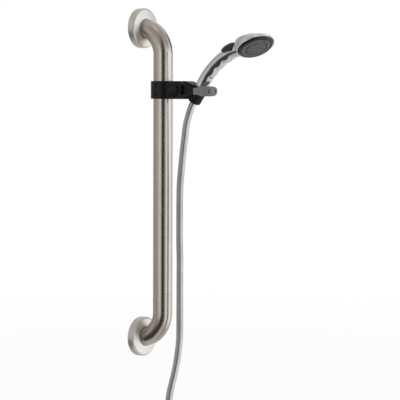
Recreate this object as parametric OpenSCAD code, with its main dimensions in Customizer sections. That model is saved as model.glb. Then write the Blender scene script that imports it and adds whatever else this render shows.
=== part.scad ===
// Hand shower on a wall grab bar: a welded grab bar with its wall plates and snap covers, a lever
// holder that slides and turns on the bar, the hand shower, and its spiral hose.
// The origin is the centre of the upper wall plate's back face, the wall is the plane Y = 0, the
// object stands out from it towards -Y, and +Z is up.

/* [Grab bar] */
// Outside diameter of the bar's tube
bar_d = 38.1; // [32:0.1:42]
// Wall thickness of the bar's tube
bar_wall = 1.5; // [1.2:0.1:2.5]
// Distance between the centres of the two wall plates
bar_span = 609.6; // [560:0.1:915]
// Free space between the straight tube and the wall
bar_clearance = 38.1; // [36:0.1:50]
// Straight stub of tube at each wall plate, before the bend starts
bar_stub = 4.5; // [4:0.25:6]

/* [Wall plates and covers] */
// Outside diameter of a cover
cover_d = 78; // [76:1:90]
// Height of a cover's straight rim
cover_rim = 11.5; // [9:0.5:13]
// Whole height of a cover
cover_h = 16; // [15:0.5:18]
// Sheet thickness of a cover
cover_t = 1.2; // [0.8:0.1:1.6]
// Thickness of a wall plate
plate_t = 3; // [2:0.25:3.5]
// Pitch circle of a wall plate's screw holes
screw_pcd = 57; // [54:0.5:60]
// Diameter of a screw hole
screw_hole_d = 6.5; // [4.5:0.1:7]
// Screw holes in a wall plate
screw_count = 3; // [3:1:6]
// Leg of the weld bead between tube and plate
weld_leg = 3; // [2:0.25:4]

/* [Slide holder] */
// Height of the holder's middle on the bar
slider_z = -120.5; // [-160:0.5:-100]
// Height of the collar round the bar
collar_h = 34.6; // [32:0.2:38]
// Wall thickness of the collar
collar_t = 3.4; // [3:0.1:5]
// Thickness of the split liner between bar and collar
liner_t = 1.5; // [1:0.1:2]
// Distance from the bar's axis to the lever's pivot
pivot_q = 37; // [36:0.5:40]
// Half width of the pivot block
cheek_x = 15; // [14.5:0.5:16]
// Half width of the arm between pivot and cup
arm_x = 13; // [11:0.5:14]
// Diameter of the round pivot cap
cap_d = 28; // [22:0.5:29]

/* [Cup] */
// Lean of the cup's axis above the horizontal
cup_el = 58.5; // [56:0.5:62]
// Distance from the bar's axis to the point where the handle sits in the cup
seat_q = 96; // [94:0.5:100]
// Height of that point above the holder's middle
seat_z = 10; // [8:0.5:12]
// Length of the cup along its axis
cup_len = 34.3; // [30:0.5:36]
// Wall thickness of the cup
cup_t = 1.6; // [1.2:0.1:2.4]
// Thickness of the cup's soft sleeve
sleeve_t = 0.8; // [0.6:0.1:1.2]
// Narrowing of the cup's radius for each millimetre of depth
cup_taper = 0.07; // [0.04:0.01:0.08]

/* [Lever] */
// Thickness of the lever's plate
lever_t = 4.2; // [3.5:0.1:5]
// Outside radius of the bow that passes in front of the cup
bow_r = 22.5; // [21:0.5:25]
// Height of the grip plate on the bow
grip_h = 19.2; // [16:0.2:24]
// Lever's travel when it is pressed down
lever_turn = 12; // [6:1:14]
// Offset of the clamping cam from the pivot
cam_throw = 2.5; // [1.5:0.1:2.8]

/* [Hand shower] */
// Outside diameter of the handle
handle_d = 24.8; // [24:0.1:26]
// Wall thickness of the handle
handle_t = 2.2; // [1.8:0.1:2.6]
// Bend radius of the handle's centre line
handle_r = 141; // [130:1:160]
// Length of the handle's curved part along its centre line
handle_len = 111; // [105:1:116]
// Turn of the hand shower in its cup
hand_spin = 13.5; // [0:0.5:25]
// Pitch of the finger lobes under the handle
lobe_pitch = 24.3; // [20:0.1:28]
// Height of the finger lobes
lobe_h = 2.4; // [1:0.1:3]
// Outside diameter of the spray head
head_d = 73; // [70:1:80]
// Wall thickness of the spray head's shell
head_t = 1.9; // [1.6:0.1:2.4]
// Depth of the spray head at its middle
head_h = 24; // [22:0.5:26]
// Diameter of the middle spray face
face_d = 39.2; // [36:0.2:42]
// Distance of the spray head's middle from the end of the handle's curve
head_reach = 51.4; // [50:0.2:54]
// Angle between the spray axis and the end of the handle
face_lean = 71.9; // [68:0.5:76]
// Diameter of a spray nozzle
nozzle_d = 2.3; // [1.8:0.1:2.6]
// Travel of the pause button
button_travel = 1; // [0.6:0.1:1.2]

/* [Hose] */
// Outside diameter of the hose
hose_d = 14; // [13:0.5:15]
// Mean radius of the hose's coil
coil_r = 77; // [70:1:84]
// Thread radius of the hose's nuts
thread_r = 10.25; // [10.1:0.05:10.4]
// Size across the flats of the wall end's nut
nut_af = 25; // [24:0.5:28]

/* [Hidden] */

// Facets of the swept and domed shells
HANDLE_SIDES = 24;
HEAD_SIDES = 40;
HEAD_RINGS = 12;
HOSE_SIDES = 10;
HOSE_STEPS = 3;

fit = 0.05;        // radial clearance of a running fit
gap = 0.3;         // clearance between pieces that move past each other
touch = 0.02;      // clearance between pieces that are fixed to each other
over = 1;          // length by which a cutting tool runs past a face

metal = [0.72, 0.69, 0.66];
black = [0.09, 0.09, 0.10];
grey = [0.42, 0.42, 0.43];
chrome = [0.80, 0.81, 0.83];
white = [0.90, 0.90, 0.88];
brass = [0.78, 0.62, 0.32];
rubber = [0.20, 0.20, 0.21];

// Bar
bar_r = bar_d / 2;
bar_q = bar_clearance + bar_r;
bend_r = bar_q - bar_stub;
straight_len = bar_span - 2 * bend_r;
// the tube leans where it leaves the cover, so the cover's hole clears its inner side
bend_depth = cover_h - bar_stub;
cover_hole_r = bend_r - sqrt(pow(bend_r - bar_r, 2) - pow(bend_depth, 2)) + gap;
cover_r = cover_d / 2;
plate_r = cover_r - cover_t - fit;
weld_h = min(weld_leg, bar_stub - plate_t);
screw_step = 360 / screw_count;
first_screw = 90;

// Collar and liner
liner_r = bar_r + fit + liner_t;
bore_r = liner_r + fit;
collar_r = bore_r + collar_t;
lip_h = 1.2;
lip_r = bar_r + 2 * gap;
edge = 0.8;
split_q = -5;
lap = 11;
lap_r = bore_r + collar_t / 2;
lap_screw_z = 9.5;
lap_screw_q = split_q + lap / 2;
lap_screw_r = 1.25;
lap_head_r = 2.3;
lap_head_h = 1;

// Pivot, cam and shoe
cheek_r = 21;
pin_r = 2.5;
cam_r = 6;
cam_x = 5;
pocket_x = cam_x + 1.5;
pocket_down = cam_r - cam_throw + 1.2;
pocket_up = cam_r + cam_throw + 0.8;
pocket_q = pivot_q + cam_r + 1;
spring_wire_r = 0.5;
spring_r = pin_r + 2;
spring_pocket_r = spring_r + spring_wire_r + gap;
spring_x = cheek_x - 3;
cap_r = cap_d / 2;
cap_h = 3.4;

// Cup, in a frame at the seat whose Z is the cup's axis
cup_mouth = -4;
cup_foot = cup_mouth - cup_len;
handle_seat_r = handle_d / 2;
function sleeve_in(s) = handle_seat_r + fit + cup_taper * (s - cup_mouth);
function cup_in(s) = sleeve_in(s) + sleeve_t;
function cup_out(s) = cup_in(s) + cup_t;
lip_len = 2;
lip_out = 0.5;
slot_half = hose_d / 2 + 0.8;
foot_run = cup_out(cup_foot) * sin(cup_el);

// Lever, in the holder's frame: q is the distance from the bar's axis, x and z as they are
lever_in = cheek_x + 0.4;
lever_out = lever_in + lever_t;
bow_x = bow_r - lever_out;
bow_q = seat_q + 6;
bow_end = 70;
waist_q = seat_q - 9;
fork_q = pivot_q + 21;
grip_low = -0.61 * grip_h;
grip_high = 0.39 * grip_h;
grip_q = waist_q + 2;
grip_corner = 7;
grip_slots = [127, 89];
slot_w = 2.6;
slot_h = 7.6;
slot_deep = 2.4;

// Handle, in the seat's frame: Z along the cup's axis, -Y towards the spray side
handle_in = handle_seat_r - handle_t;
neck_turn = handle_len / handle_r * 180 / PI;
neck_straight = 13;
lobe_first = 24;
lobe_last = lobe_first + 3 * lobe_pitch;
button_t0 = handle_len - 33;
button_t1 = handle_len + 2;
button_floor = handle_in + 0.7;
button_in = button_floor + button_travel + 0.2;
button_pocket_r = 3.7;
button_pocket_h = 3;
button_out = 19.6;

// Inlet and swivel
stub_len = 11;
stub_flange = 5;
washer_t = 1.5;
flange_t = 1.8;
nut_top = cup_mouth + 0.6;
nut_foot = cup_foot + 2.3;
stub_foot = nut_top - stub_len;
washer_foot = stub_foot - washer_t;
flange_foot = washer_foot - gap - flange_t;
shoulder_top = flange_foot - gap;
shoulder_foot = shoulder_top - 2;
nipple_r = 5.5;
ferrule_top = shoulder_foot - gap;
ferrule_r = hose_d / 2 + 1.1;
hose_top = ferrule_top - 4;
ferrule_foot = cup_foot + 0.8;
water_r = 3.6;
pipe_r = 5.6;

// Spray head, in a frame on the face whose Z is the spray direction and +Y points to the far tip
head_drop = 6.55;
head_r = head_d / 2;
head_slope = 0.30;
head_in = head_r - head_t;
face_r = face_d / 2;
groove = 0.4;
ring_in = face_r + groove;
ring_out = head_in - 5.2;
ring_top = -3.2;
ring_h = 3.4;
face_top = -0.4;
face_h = 4.5;
bezel_in = ring_out + groove;
bezel_h = 5;
// inside radius of the shell at its thin tip, at a depth under the face
function tip_in(deep) =
    let (n = 2.4, full = head_h - head_t - head_slope * head_in)
    head_in * pow(1 - pow(deep / full, n), 1 / n) * cos(180 / HEAD_SIDES);
tab_w = 11;
mat_t = 1;
nozzle_r = nozzle_d / 2;
nozzle_up = 1.1;
face_rings = [[5, 6], [10, 12], [15, 18]];
ring_rings = [[(ring_in + 3.2), 22], [(ring_in + ring_out) / 2 + 2.6, 28]];
disc_r = 16;
disc_h = 2;
disc_top = face_top - face_h - mat_t - gap;
web_r = ring_in + 1;
web_h = 1.2;
chamber_r = 20;
chamber_top = disc_top - disc_h - web_h - gap;
chamber_h = 3.6;
chamber_t = 1.6;
socket_len = 4;

// Hose
coil_pitch = hose_d + 0.4;
tail_len = 82;
HOSE_ROUTE = [
    [0, -133, -143], [0, -125, -157], [0, -120, -170], [0, -115, -186], [0, -112, -204],
    [0, -109, -224], [0, -106, -246], [0, -103, -272], [0, -100, -302], [0, -99, -335],
    [0, -99, -370], [0, -99, -410], [0, -100, -450], [0, -100, -490], [0, -100, -530],
    [0, -100, -565], [0, -100, -590], [0, -99, -612], [0, -96, -634], [0, -92, -656],
    [0, -87, -676], [0, -81, -697], [1, -75, -716], [6, -69, -734], [17, -63, -751],
    [32, -59, -765], [50, -57, -773], [66, -56, -775]];
route_end = HOSE_ROUTE[len(HOSE_ROUTE) - 1];
coil_x = route_end.x;
coil_y = route_end.y - coil_r;
coil_z = route_end.z;
coil_low_z = coil_z - coil_pitch;
tail_y = coil_y - coil_r;
// the hose's end rises so that the nut's corners rest on the same floor as the coil
nut_r = nut_af / 2 / cos(30);
tail_z = coil_low_z - hose_d / 2 + nut_r;
crimp = 12;
end_thread = 8 + flange_t + 2.1;
TAIL_STEPS = 8;

// ---------------------------------------------------------------- general helpers

// Polygon with rounded corners: each entry is [x, y, corner radius]
function unit2(v) = v / norm(v);
function corner(p, c, n, steps) =
    let (
        a = unit2([p.x - c.x, p.y - c.y]),
        b = unit2([n.x - c.x, n.y - c.y]),
        half = acos(max(-1, min(1, a * b))) / 2,
        reach = c[2] / tan(half),
        centre = [c.x, c.y] + unit2(a + b) * c[2] / sin(half),
        v0 = [c.x, c.y] + a * reach - centre,
        v1 = [c.x, c.y] + b * reach - centre,
        a0 = atan2(v0.y, v0.x),
        turn = atan2(v0.x * v1.y - v0.y * v1.x, v0 * v1)
    )
    [for (i = [0 : steps]) centre + c[2] * [cos(a0 + turn * i / steps), sin(a0 + turn * i / steps)]];
function rounded(pts, steps = 4) = [
    for (i = [0 : len(pts) - 1])
        let (c = pts[i], p = pts[(i + len(pts) - 1) % len(pts)], n = pts[(i + 1) % len(pts)])
        each (c[2] > 0 ? corner(p, c, n, steps) : [[c.x, c.y]])];

// Faces of a closed grid of points: rings of m points, the first and last ring capped
function wall_faces(rings, m, at = 0) = [
    for (k = [0 : rings - 2], i = [0 : m - 1])
        let (a = at + k * m + i, b = at + k * m + (i + 1) % m)
        each [[a, b, b + m], [a, b + m, a + m]]];
function flipped(faces) = [for (f = faces) [f[2], f[1], f[0]]];

// Plate outline [q, z] spread along X between -x0 and -x1 in the holder's frame
module along_x(x0, x1) {
    rotate([90, 0, -90])
        translate([0, 0, x0])
            linear_extrude(x1 - x0)
                children();
}

// Cylinder whose axis is X, from x0 to x1
module rod_x(x0, x1, r) {
    translate([x0, 0, 0])
        rotate([0, 90, 0])
            cylinder(h = x1 - x0, r = r, $fn = 64);
}

// Ring with a rectangular section, from z0 up to z1
module ring(r_out, r_in, z0, z1) {
    difference() {
        translate([0, 0, z0])
            cylinder(h = z1 - z0, r = r_out, $fn = 96);
        translate([0, 0, z0 - over])
            cylinder(h = z1 - z0 + 2 * over, r = r_in, $fn = 96);
    }
}

// ---------------------------------------------------------------- frames

module at_lower_plate() {
    translate([0, 0, -bar_span])
        mirror([0, 0, 1])
            children();
}
module wall_frame() {
    rotate([90, 0, 0])
        children();
}
module holder_frame() {
    translate([0, -bar_q, slider_z])
        children();
}
module pivot_frame() {
    holder_frame()
        translate([0, -pivot_q, 0])
            children();
}
module seat_in_holder() {
    translate([0, -seat_q, seat_z])
        rotate([90 - cup_el, 0, 0])
            children();
}
module seat_frame() {
    holder_frame()
        seat_in_holder()
            children();
}
module hand_frame() {
    seat_frame()
        rotate([0, 0, -hand_spin])
            children();
}
// A frame on the handle's centre line after a length t: Z runs on along it, +Y is its back
module at_handle(t) {
    turn = min(max(t, 0), handle_len) / handle_r * 180 / PI;
    translate([0, handle_r * (cos(turn) - 1), handle_r * sin(turn)])
        rotate([turn, 0, 0])
            translate([0, 0, t - min(max(t, 0), handle_len)])
                children();
}
module head_frame() {
    hand_frame()
        at_handle(handle_len)
            translate([0, -head_drop, head_reach])
                rotate([face_lean, 0, 0])
                    children();
}

// ---------------------------------------------------------------- grab bar

module bar_end(r) {
    wall_frame()
        cylinder(h = bar_stub, r = r, $fn = 96);
    translate([0, -bar_stub, -bend_r])
        rotate([180, -90, 0])
            rotate_extrude(angle = 90, $fn = 96)
                translate([bend_r, 0])
                    circle(r = r, $fn = 96);
}
module bar_solid(r) {
    bar_end(r);
    at_lower_plate()
        bar_end(r);
    translate([0, -bar_q, -bar_span + bend_r])
        cylinder(h = straight_len, r = r, $fn = 96);
}
module grab_bar() {
    color(metal)
        difference() {
            bar_solid(bar_r);
            bar_solid(bar_r - bar_wall);
        }
}

module wall_plate() {
    wall_frame() {
        difference() {
            cylinder(h = plate_t, r = plate_r, $fn = 96);
            translate([0, 0, -over])
                cylinder(h = plate_t + 2 * over, r = bar_r + touch, $fn = 96);
            for (i = [0 : screw_count - 1])
                rotate([0, 0, first_screw + i * screw_step])
                    translate([screw_pcd / 2, 0, -over])
                        cylinder(h = plate_t + 2 * over, r = screw_hole_d / 2, $fn = 48);
        }
        translate([0, 0, plate_t])
            rotate_extrude($fn = 96)
                polygon([[bar_r + touch, 0], [bar_r + touch + weld_leg, 0], [bar_r + touch, weld_h]]);
    }
}
module upper_wall_plate() {
    color(metal)
        wall_plate();
}
module lower_wall_plate() {
    color(metal)
        at_lower_plate()
            wall_plate();
}

function cover_outline(r, rim, top, hole, round) = [
    [r, 0, 0], [r, rim, round], [r - 3, rim + 0.55 * (top - rim), 2], [hole + 4, top - 0.3, 3], [hole, top, 0]];
module cover() {
    outer = rounded(cover_outline(cover_r, cover_rim, cover_h, cover_hole_r, 1.5));
    inner = rounded(cover_outline(cover_r - cover_t, cover_rim - cover_t / 2, cover_h - cover_t,
        cover_hole_r, 1));
    wall_frame()
        rotate_extrude($fn = 96)
            polygon(concat(outer, [for (i = [len(inner) - 1 : -1 : 0]) inner[i]]));
}
module upper_cover() {
    color(metal)
        cover();
}
module lower_cover() {
    color(metal)
        at_lower_plate()
            cover();
}

// ---------------------------------------------------------------- slide holder

module slide_liner() {
    half = collar_h / 2 - lip_h - fit;
    color(white)
        holder_frame()
            difference() {
                ring(liner_r, bar_r + fit, -half, half);
                translate([-over, 0, -half - over])
                    cube([2 * over, liner_r + over, 2 * (half + over)]);
            }
}

// The collar's bore: a groove for the liner between two lips
module collar_bore() {
    half = collar_h / 2;
    cylinder(h = collar_h + 2 * over, r = lip_r, center = true, $fn = 96);
    cylinder(h = 2 * (half - lip_h), r = bore_r, center = true, $fn = 96);
}
module collar_blank() {
    half = collar_h / 2;
    rotate_extrude($fn = 96)
        polygon([[0, -half], [collar_r - edge, -half], [collar_r, -half + edge],
            [collar_r, half - edge], [collar_r - edge, half], [0, half]]);
}
module lap_screw_places() {
    for (side = [-1, 1], z = [-lap_screw_z, lap_screw_z])
        translate([0, -lap_screw_q, z])
            rotate([0, side * 90, 0])
                children();
}

// Side view of the arm: flat on top and below, falling to the cup's mouth
function arm_outline() =
    let (half = collar_h / 2, rear = seat_q - cup_out(cup_mouth) * sin(cup_el))
    rounded([[pivot_q, -half, 0], [seat_q - 18 - foot_run, -half, 4], [seat_q - 8, -half + 4, 0],
        [seat_q, 0, 0], [seat_q, seat_z + cup_mouth, 0],
        [rear, half - 7, 4], [rear - 20, half, 12], [pivot_q, half, 0]]);

module cup_outside() {
    rotate_extrude($fn = 96)
        polygon([[0, cup_foot], [cup_out(cup_foot) - edge, cup_foot],
            [cup_out(cup_foot), cup_foot + edge], [cup_out(cup_mouth - lip_len), cup_mouth - lip_len],
            [cup_out(cup_mouth) + lip_out, cup_mouth - lip_len + lip_out],
            [cup_out(cup_mouth) + lip_out, cup_mouth - edge],
            [cup_out(cup_mouth) + lip_out - edge, cup_mouth], [0, cup_mouth]]);
}
// Cone that runs past both ends of the cup, at a distance from the sleeve's inside
module cup_cone(off) {
    top = cup_mouth + over;
    foot = cup_foot - over;
    translate([0, 0, foot])
        cylinder(h = top - foot, r1 = sleeve_in(foot) + off, r2 = sleeve_in(top) + off, $fn = 96);
}
module hose_slot() {
    translate([0, -slot_half, cup_foot - 2 * over])
        cube([cup_out(cup_mouth) + 4 * over, 2 * slot_half, cup_len + 4 * over]);
}
// Everything above the cup's mouth, where the handle stands
module above_mouth() {
    translate([0, 0, cup_mouth])
        cylinder(h = 2 * cup_len, r = cup_out(cup_mouth) + lip_out + over, $fn = 96);
}

module holder_body() {
    half = collar_h / 2;
    color(black)
        holder_frame()
            difference() {
                union() {
                    intersection() {
                        collar_blank();
                        translate([-collar_r - over, -collar_r - over, -half - over])
                            cube([2 * (collar_r + over), collar_r + over - split_q,
                                collar_h + 2 * over]);
                    }
                    intersection() {
                        translate([0, -pivot_q, 0])
                            rod_x(-cheek_x, cheek_x, cheek_r);
                        translate([-cheek_x, -pivot_q - cheek_r, -half])
                            cube([2 * cheek_x, 2 * cheek_r, collar_h]);
                    }
                    along_x(-arm_x, arm_x)
                        polygon(arm_outline());
                    seat_in_holder()
                        cup_outside();
                }
                collar_bore();
                // the back half's tongues lie in this relief
                difference() {
                    translate([0, -split_q - lap / 2 - gap / 2, 0])
                        cube([3 * collar_r, lap + gap, collar_h - 2 * lip_h], center = true);
                    difference() {
                        cylinder(h = 2 * collar_h, r = 2 * collar_r, center = true, $fn = 96);
                        cylinder(h = 2 * collar_h, r = lap_r + touch, center = true, $fn = 96);
                    }
                }
                lap_screw_places() {
                    translate([0, 0, lap_r - over])
                        cylinder(h = collar_t + 2 * over, r = lap_screw_r + touch, $fn = 32);
                    translate([0, 0, collar_r - 0.6 - lap_head_h])
                        cylinder(h = lap_head_h + 2 * over, r = lap_head_r + touch, $fn = 32);
                }
                // shoe and cam pocket, open to the liner
                translate([-pocket_x, -pocket_q, -pocket_down])
                    cube([2 * pocket_x, pocket_q - bar_r, pocket_down + pocket_up]);
                translate([0, -pivot_q, 0]) {
                    rod_x(-cheek_x - over, cheek_x + over, pin_r + fit);
                    rod_x(cam_x, spring_x, spring_pocket_r);
                }
                seat_in_holder() {
                    cup_cone(sleeve_t + touch);
                    hose_slot();
                    above_mouth();
                }
            }
}

module collar_back() {
    half = collar_h / 2;
    color(black)
        holder_frame()
            difference() {
                union() {
                    intersection() {
                        collar_blank();
                        translate([-collar_r - over, -split_q, -half - over])
                            cube([2 * (collar_r + over), collar_r + over, collar_h + 2 * over]);
                    }
                    intersection() {
                        cylinder(h = collar_h - 2 * lip_h - 2 * fit, r = lap_r, center = true, $fn = 96);
                        translate([-collar_r, -split_q - lap, -half])
                            cube([2 * collar_r, lap + over, collar_h]);
                    }
                }
                collar_bore();
                lap_screw_places()
                    cylinder(h = 2 * collar_r, r = lap_screw_r + touch, $fn = 32);
            }
}

module collar_screws() {
    color(metal)
        holder_frame()
            lap_screw_places() {
                translate([0, 0, bore_r + fit])
                    cylinder(h = collar_r - 0.6 - bore_r - fit - lap_head_h / 2, r = lap_screw_r,
                        $fn = 32);
                difference() {
                    translate([0, 0, collar_r - 0.6 - lap_head_h])
                        cylinder(h = lap_head_h, r = lap_head_r, $fn = 32);
                    translate([0, 0, collar_r - 0.6 - lap_head_h / 2])
                        cylinder(h = lap_head_h, r = lap_screw_r, $fn = 6);
                }
            }
}

module cup_sleeve() {
    color(rubber)
        seat_frame()
            difference() {
                translate([0, 0, cup_foot])
                    cylinder(h = cup_len, r1 = cup_in(cup_foot), r2 = cup_in(cup_mouth), $fn = 96);
                cup_cone(0);
                hose_slot();
            }
}

// ---------------------------------------------------------------- lever and clamp

// Side view of the lever, with its fork, waist and grip plate
function lever_outline() =
    let (half = collar_h / 2, front = bow_q + bow_r + over)
    rounded([[pivot_q + 9, -half + 0.5, 1], [fork_q, -half + 0.8, 4], [waist_q, -8.6, 8],
        [waist_q + 13, -8.8, 6], [bow_q + 6, grip_low, 1], [front, grip_low, grip_corner],
        [front, grip_high, grip_corner], [bow_q + 6, grip_high, 1], [waist_q + 13, 4.8, 6], [waist_q, 4.3, 8],
        [fork_q, half - 0.8, 4], [pivot_q + 9, half - 0.5, 1]]);
function lever_window() = rounded([[fork_q + 1, -10.4, 1.5], [grip_q - 0.5, 0, 1], [fork_q + 1, 10.4, 1.5]], 3);

// Top view of the lever: a straight side and the bow round the cup's front
module lever_plan() {
    mid_r = bow_r - lever_t / 2;
    translate([-lever_out, -bow_q])
        square([lever_t, bow_q - pivot_q + cap_r]);
    intersection() {
        translate([bow_x, -bow_q])
            difference() {
                circle(r = bow_r, $fn = 96);
                circle(r = bow_r - lever_t, $fn = 96);
            }
        polygon([[bow_x, -bow_q], [bow_x - 2 * bow_r, -bow_q], [bow_x - 2 * bow_r, -bow_q - 2 * bow_r],
            [bow_x, -bow_q - 2 * bow_r],
            [bow_x + 2 * bow_r * cos(bow_end), -bow_q - 2 * bow_r * sin(bow_end)]]);
    }
    translate([bow_x + mid_r * cos(bow_end), -bow_q - mid_r * sin(bow_end)])
        circle(r = lever_t / 2, $fn = 48);
}

// Front view of the lever, with round corners at the bow's free end
function lever_front() =
    let (free = bow_x + (bow_r - lever_t / 2) * cos(bow_end) + lever_t / 2, side = -lever_out - over)
    rounded([[side, -collar_h, 0], [bow_x, -collar_h, 0], [bow_x, grip_low, 0],
        [free, grip_low, grip_corner], [free, grip_high, grip_corner],
        [bow_x, grip_high, 0], [bow_x, collar_h, 0], [side, collar_h, 0]], 6);
// Plate of the lever between two distances from the bar's axis
module lever_plate(q0, q1) {
    intersection() {
        translate([0, 0, -collar_h])
            linear_extrude(2 * collar_h)
                lever_plan();
        along_x(-2 * bow_r, lever_out + over)
            polygon(lever_outline());
        translate([-2 * bow_r, -q1, -collar_h])
            cube([4 * bow_r, q1 - q0, 2 * collar_h]);
    }
}

module lever() {
    hub_r = cap_r - 0.8;
    color(black)
        holder_frame()
            difference() {
                union() {
                    lever_plate(pivot_q, grip_q);
                    translate([0, -pivot_q, 0])
                        rod_x(-lever_out, -lever_in, hub_r);
                    along_x(lever_in, lever_out)
                        polygon([[pivot_q, -8], [pivot_q + cap_r, -8], [pivot_q + cap_r, 8], [pivot_q, 8]]);
                }
                along_x(lever_in - over, lever_out + over)
                    polygon(lever_window());
                translate([0, -pivot_q, 0])
                    rod_x(-lever_out - over, -lever_in + over, pin_r + touch);
                // grip lines beside the pivot
                for (k = [0 : 2])
                    translate([-lever_out - over, -pivot_q - cap_r - 2.4 - 2.2 * k, -6])
                        cube([over + 0.5, 1.1, 12]);
            }
}
module lever_grip() {
    color(grey)
        holder_frame()
            difference() {
                intersection() {
                    lever_plate(grip_q + touch, bow_q + bow_r + over);
                    rotate([90, 0, 0])
                        linear_extrude(bow_q + bow_r + 2 * over)
                            polygon(lever_front());
                }
                // finger slots in the grip plate
                translate([bow_x, -bow_q, 0])
                    for (a = grip_slots)
                        rotate([0, 0, -a])
                            translate([bow_r - slot_deep, -slot_w / 2,
                                (grip_low + grip_high - slot_h) / 2])
                                cube([slot_deep + over, slot_w, slot_h]);
            }
}

module lever_pin() {
    color(metal)
        pivot_frame()
            rod_x(-lever_out, cheek_x + 2.2, pin_r);
}

module pivot_cap() {
    color(black)
        pivot_frame()
            translate([-lever_out - touch, 0, 0])
                rotate([0, -90, 0])
                    rotate_extrude($fn = 96)
                        polygon(concat([[0, 0], [cap_r, 0], [cap_r, cap_h - 1.2], [cap_r - 1, cap_h - 0.2],
                            [cap_r - 3, cap_h - 0.2], [cap_r - 3.6, cap_h - 0.8]],
                            [for (a = [0 : 15 : 90]) [(cap_r - 4.4) * cos(a), cap_h - 0.8 + 1.6 * sin(a)]]));
}

module pin_washer() {
    color(metal)
        pivot_frame()
            difference() {
                rod_x(cheek_x + gap, cheek_x + gap + 1, 2 * pin_r);
                rod_x(cheek_x, cheek_x + 2, pin_r + touch);
            }
}

module clamp_cam() {
    color(metal)
        pivot_frame()
            difference() {
                translate([0, 0, cam_throw])
                    rod_x(-cam_x, cam_x, cam_r);
                rod_x(-cam_x - over, cam_x + over, pin_r + touch);
            }
}

module clamp_shoe() {
    front = liner_r + gap / 2;
    back = pivot_q - cam_r - gap;
    color(rubber)
        holder_frame()
            difference() {
                translate([-pocket_x + gap, -back, -pocket_down + gap])
                    cube([2 * (pocket_x - gap), back - bar_r - 1, pocket_down + pocket_up - 2 * gap]);
                cylinder(h = collar_h, r = front, center = true, $fn = 96);
            }
}

// Round wire swept along a helix about Z
function helix_point(r, pitch, a) = [r * cos(a), r * sin(a), pitch * a / 360];
module helix_spring(r, wire, length, turns, per_turn = 14, sides = 6) {
    pitch = (length - 2 * wire) / turns;
    rings = turns * per_turn + 1;
    pts = [for (k = [0 : rings - 1], i = [0 : sides - 1])
        let (a = 360 * k / per_turn, w = 360 * i / sides)
        helix_point(r, pitch, a) + [0, 0, wire]
            + wire * (cos(w) * [cos(a), sin(a), 0] + sin(w) * [0, 0, 1])];
    last = (rings - 1) * sides;
    polyhedron(points = pts, faces = concat(
        [for (i = [1 : sides - 2]) [0, i + 1, i]],
        wall_faces(rings, sides),
        [for (i = [1 : sides - 2]) [last, last + i, last + i + 1]]));
}

module lever_spring() {
    color(metal)
        pivot_frame()
            translate([cam_x + fit, 0, 0])
                rotate([0, 90, 0])
                    helix_spring(spring_r, spring_wire_r, spring_x - cam_x - 2 * fit, 4);
}

// ---------------------------------------------------------------- hand shower

// Height of the finger lobes at a length t along the handle and an angle a from the spray side
function lobe(t, a) = (t < lobe_first - lobe_pitch || t > lobe_last) ? 0
    : lobe_h * abs(sin(180 * (t - lobe_first) / lobe_pitch)) * pow(max(0, cos(a)), 3);
// Shallow seat for the pause button on the handle's back
function button_seat(t, a) = (t > button_t0 && t < button_t1 && abs(a - 180) < 66)
    ? handle_seat_r - button_floor : 0;
// Point of the handle at a length t, an angle a from the spray side and a radius
function handle_point(t, a, r) =
    let (
        on = min(max(t, 0), handle_len),
        turn = on / handle_r * 180 / PI,
        rest = t - on,
        side = r * sin(a),
        front = r * cos(a)
    )
    [side,
        handle_r * (cos(turn) - 1) - rest * sin(turn) - front * cos(turn),
        handle_r * sin(turn) + rest * cos(turn) - front * sin(turn)];

handle_steps = [-3, each [for (k = [0 : 27]) 4 * k - 0.01], button_t0 - 0.1, button_t0 + 0.1,
    button_t1 - 0.1, button_t1 + 0.1, handle_len + neck_straight];
function before(list, v) = [for (x = list) if (x < v) x];
function after(list, v) = [for (x = list) if (x >= v) x];
function sorted(list) = len(list) <= 1 ? list
    : let (m = list[floor(len(list) / 2)], rest = [for (i = [0 : len(list) - 1]) if (i != floor(len(list) / 2)) list[i]])
        concat(sorted(before(rest, m)), [m], sorted(after(rest, m)));

module handle_shell() {
    ts = sorted(handle_steps);
    n = len(ts);
    m = HANDLE_SIDES;
    outer = [for (t = ts, i = [0 : m - 1])
        let (a = 360 * i / m)
        handle_point(t, a, handle_seat_r + lobe(t, a > 180 ? 360 - a : a) - button_seat(t, a))];
    inner = [for (t = ts, i = [0 : m - 1]) handle_point(t, 360 * i / m, handle_in)];
    low = [for (i = [0 : m - 1])
        let (j = (i + 1) % m)
        each [[i, j, n * m + j], [i, n * m + j, n * m + i]]];
    top = [for (i = [0 : m - 1])
        let (j = (i + 1) % m, a = (n - 1) * m, b = (2 * n - 1) * m)
        each [[a + j, a + i, b + i], [a + j, b + i, b + j]]];
    color(chrome)
        hand_frame()
            polyhedron(points = concat(outer, inner),
                faces = concat(flipped(wall_faces(n, m)), wall_faces(n, m, n * m), low, top));
}

// Outside of the spray head: a drum with round shoulders, deep at the neck and thin at the tip
function head_point(a, turn, r, h) =
    let (
        n = 3.2 - 0.8 * sin(turn),
        rho = r * pow(cos(a), 2 / n),
        deep = h - head_slope * rho * sin(turn)
    )
    [rho * cos(turn), rho * sin(turn), -deep * pow(sin(a), 2 / n)];
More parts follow.
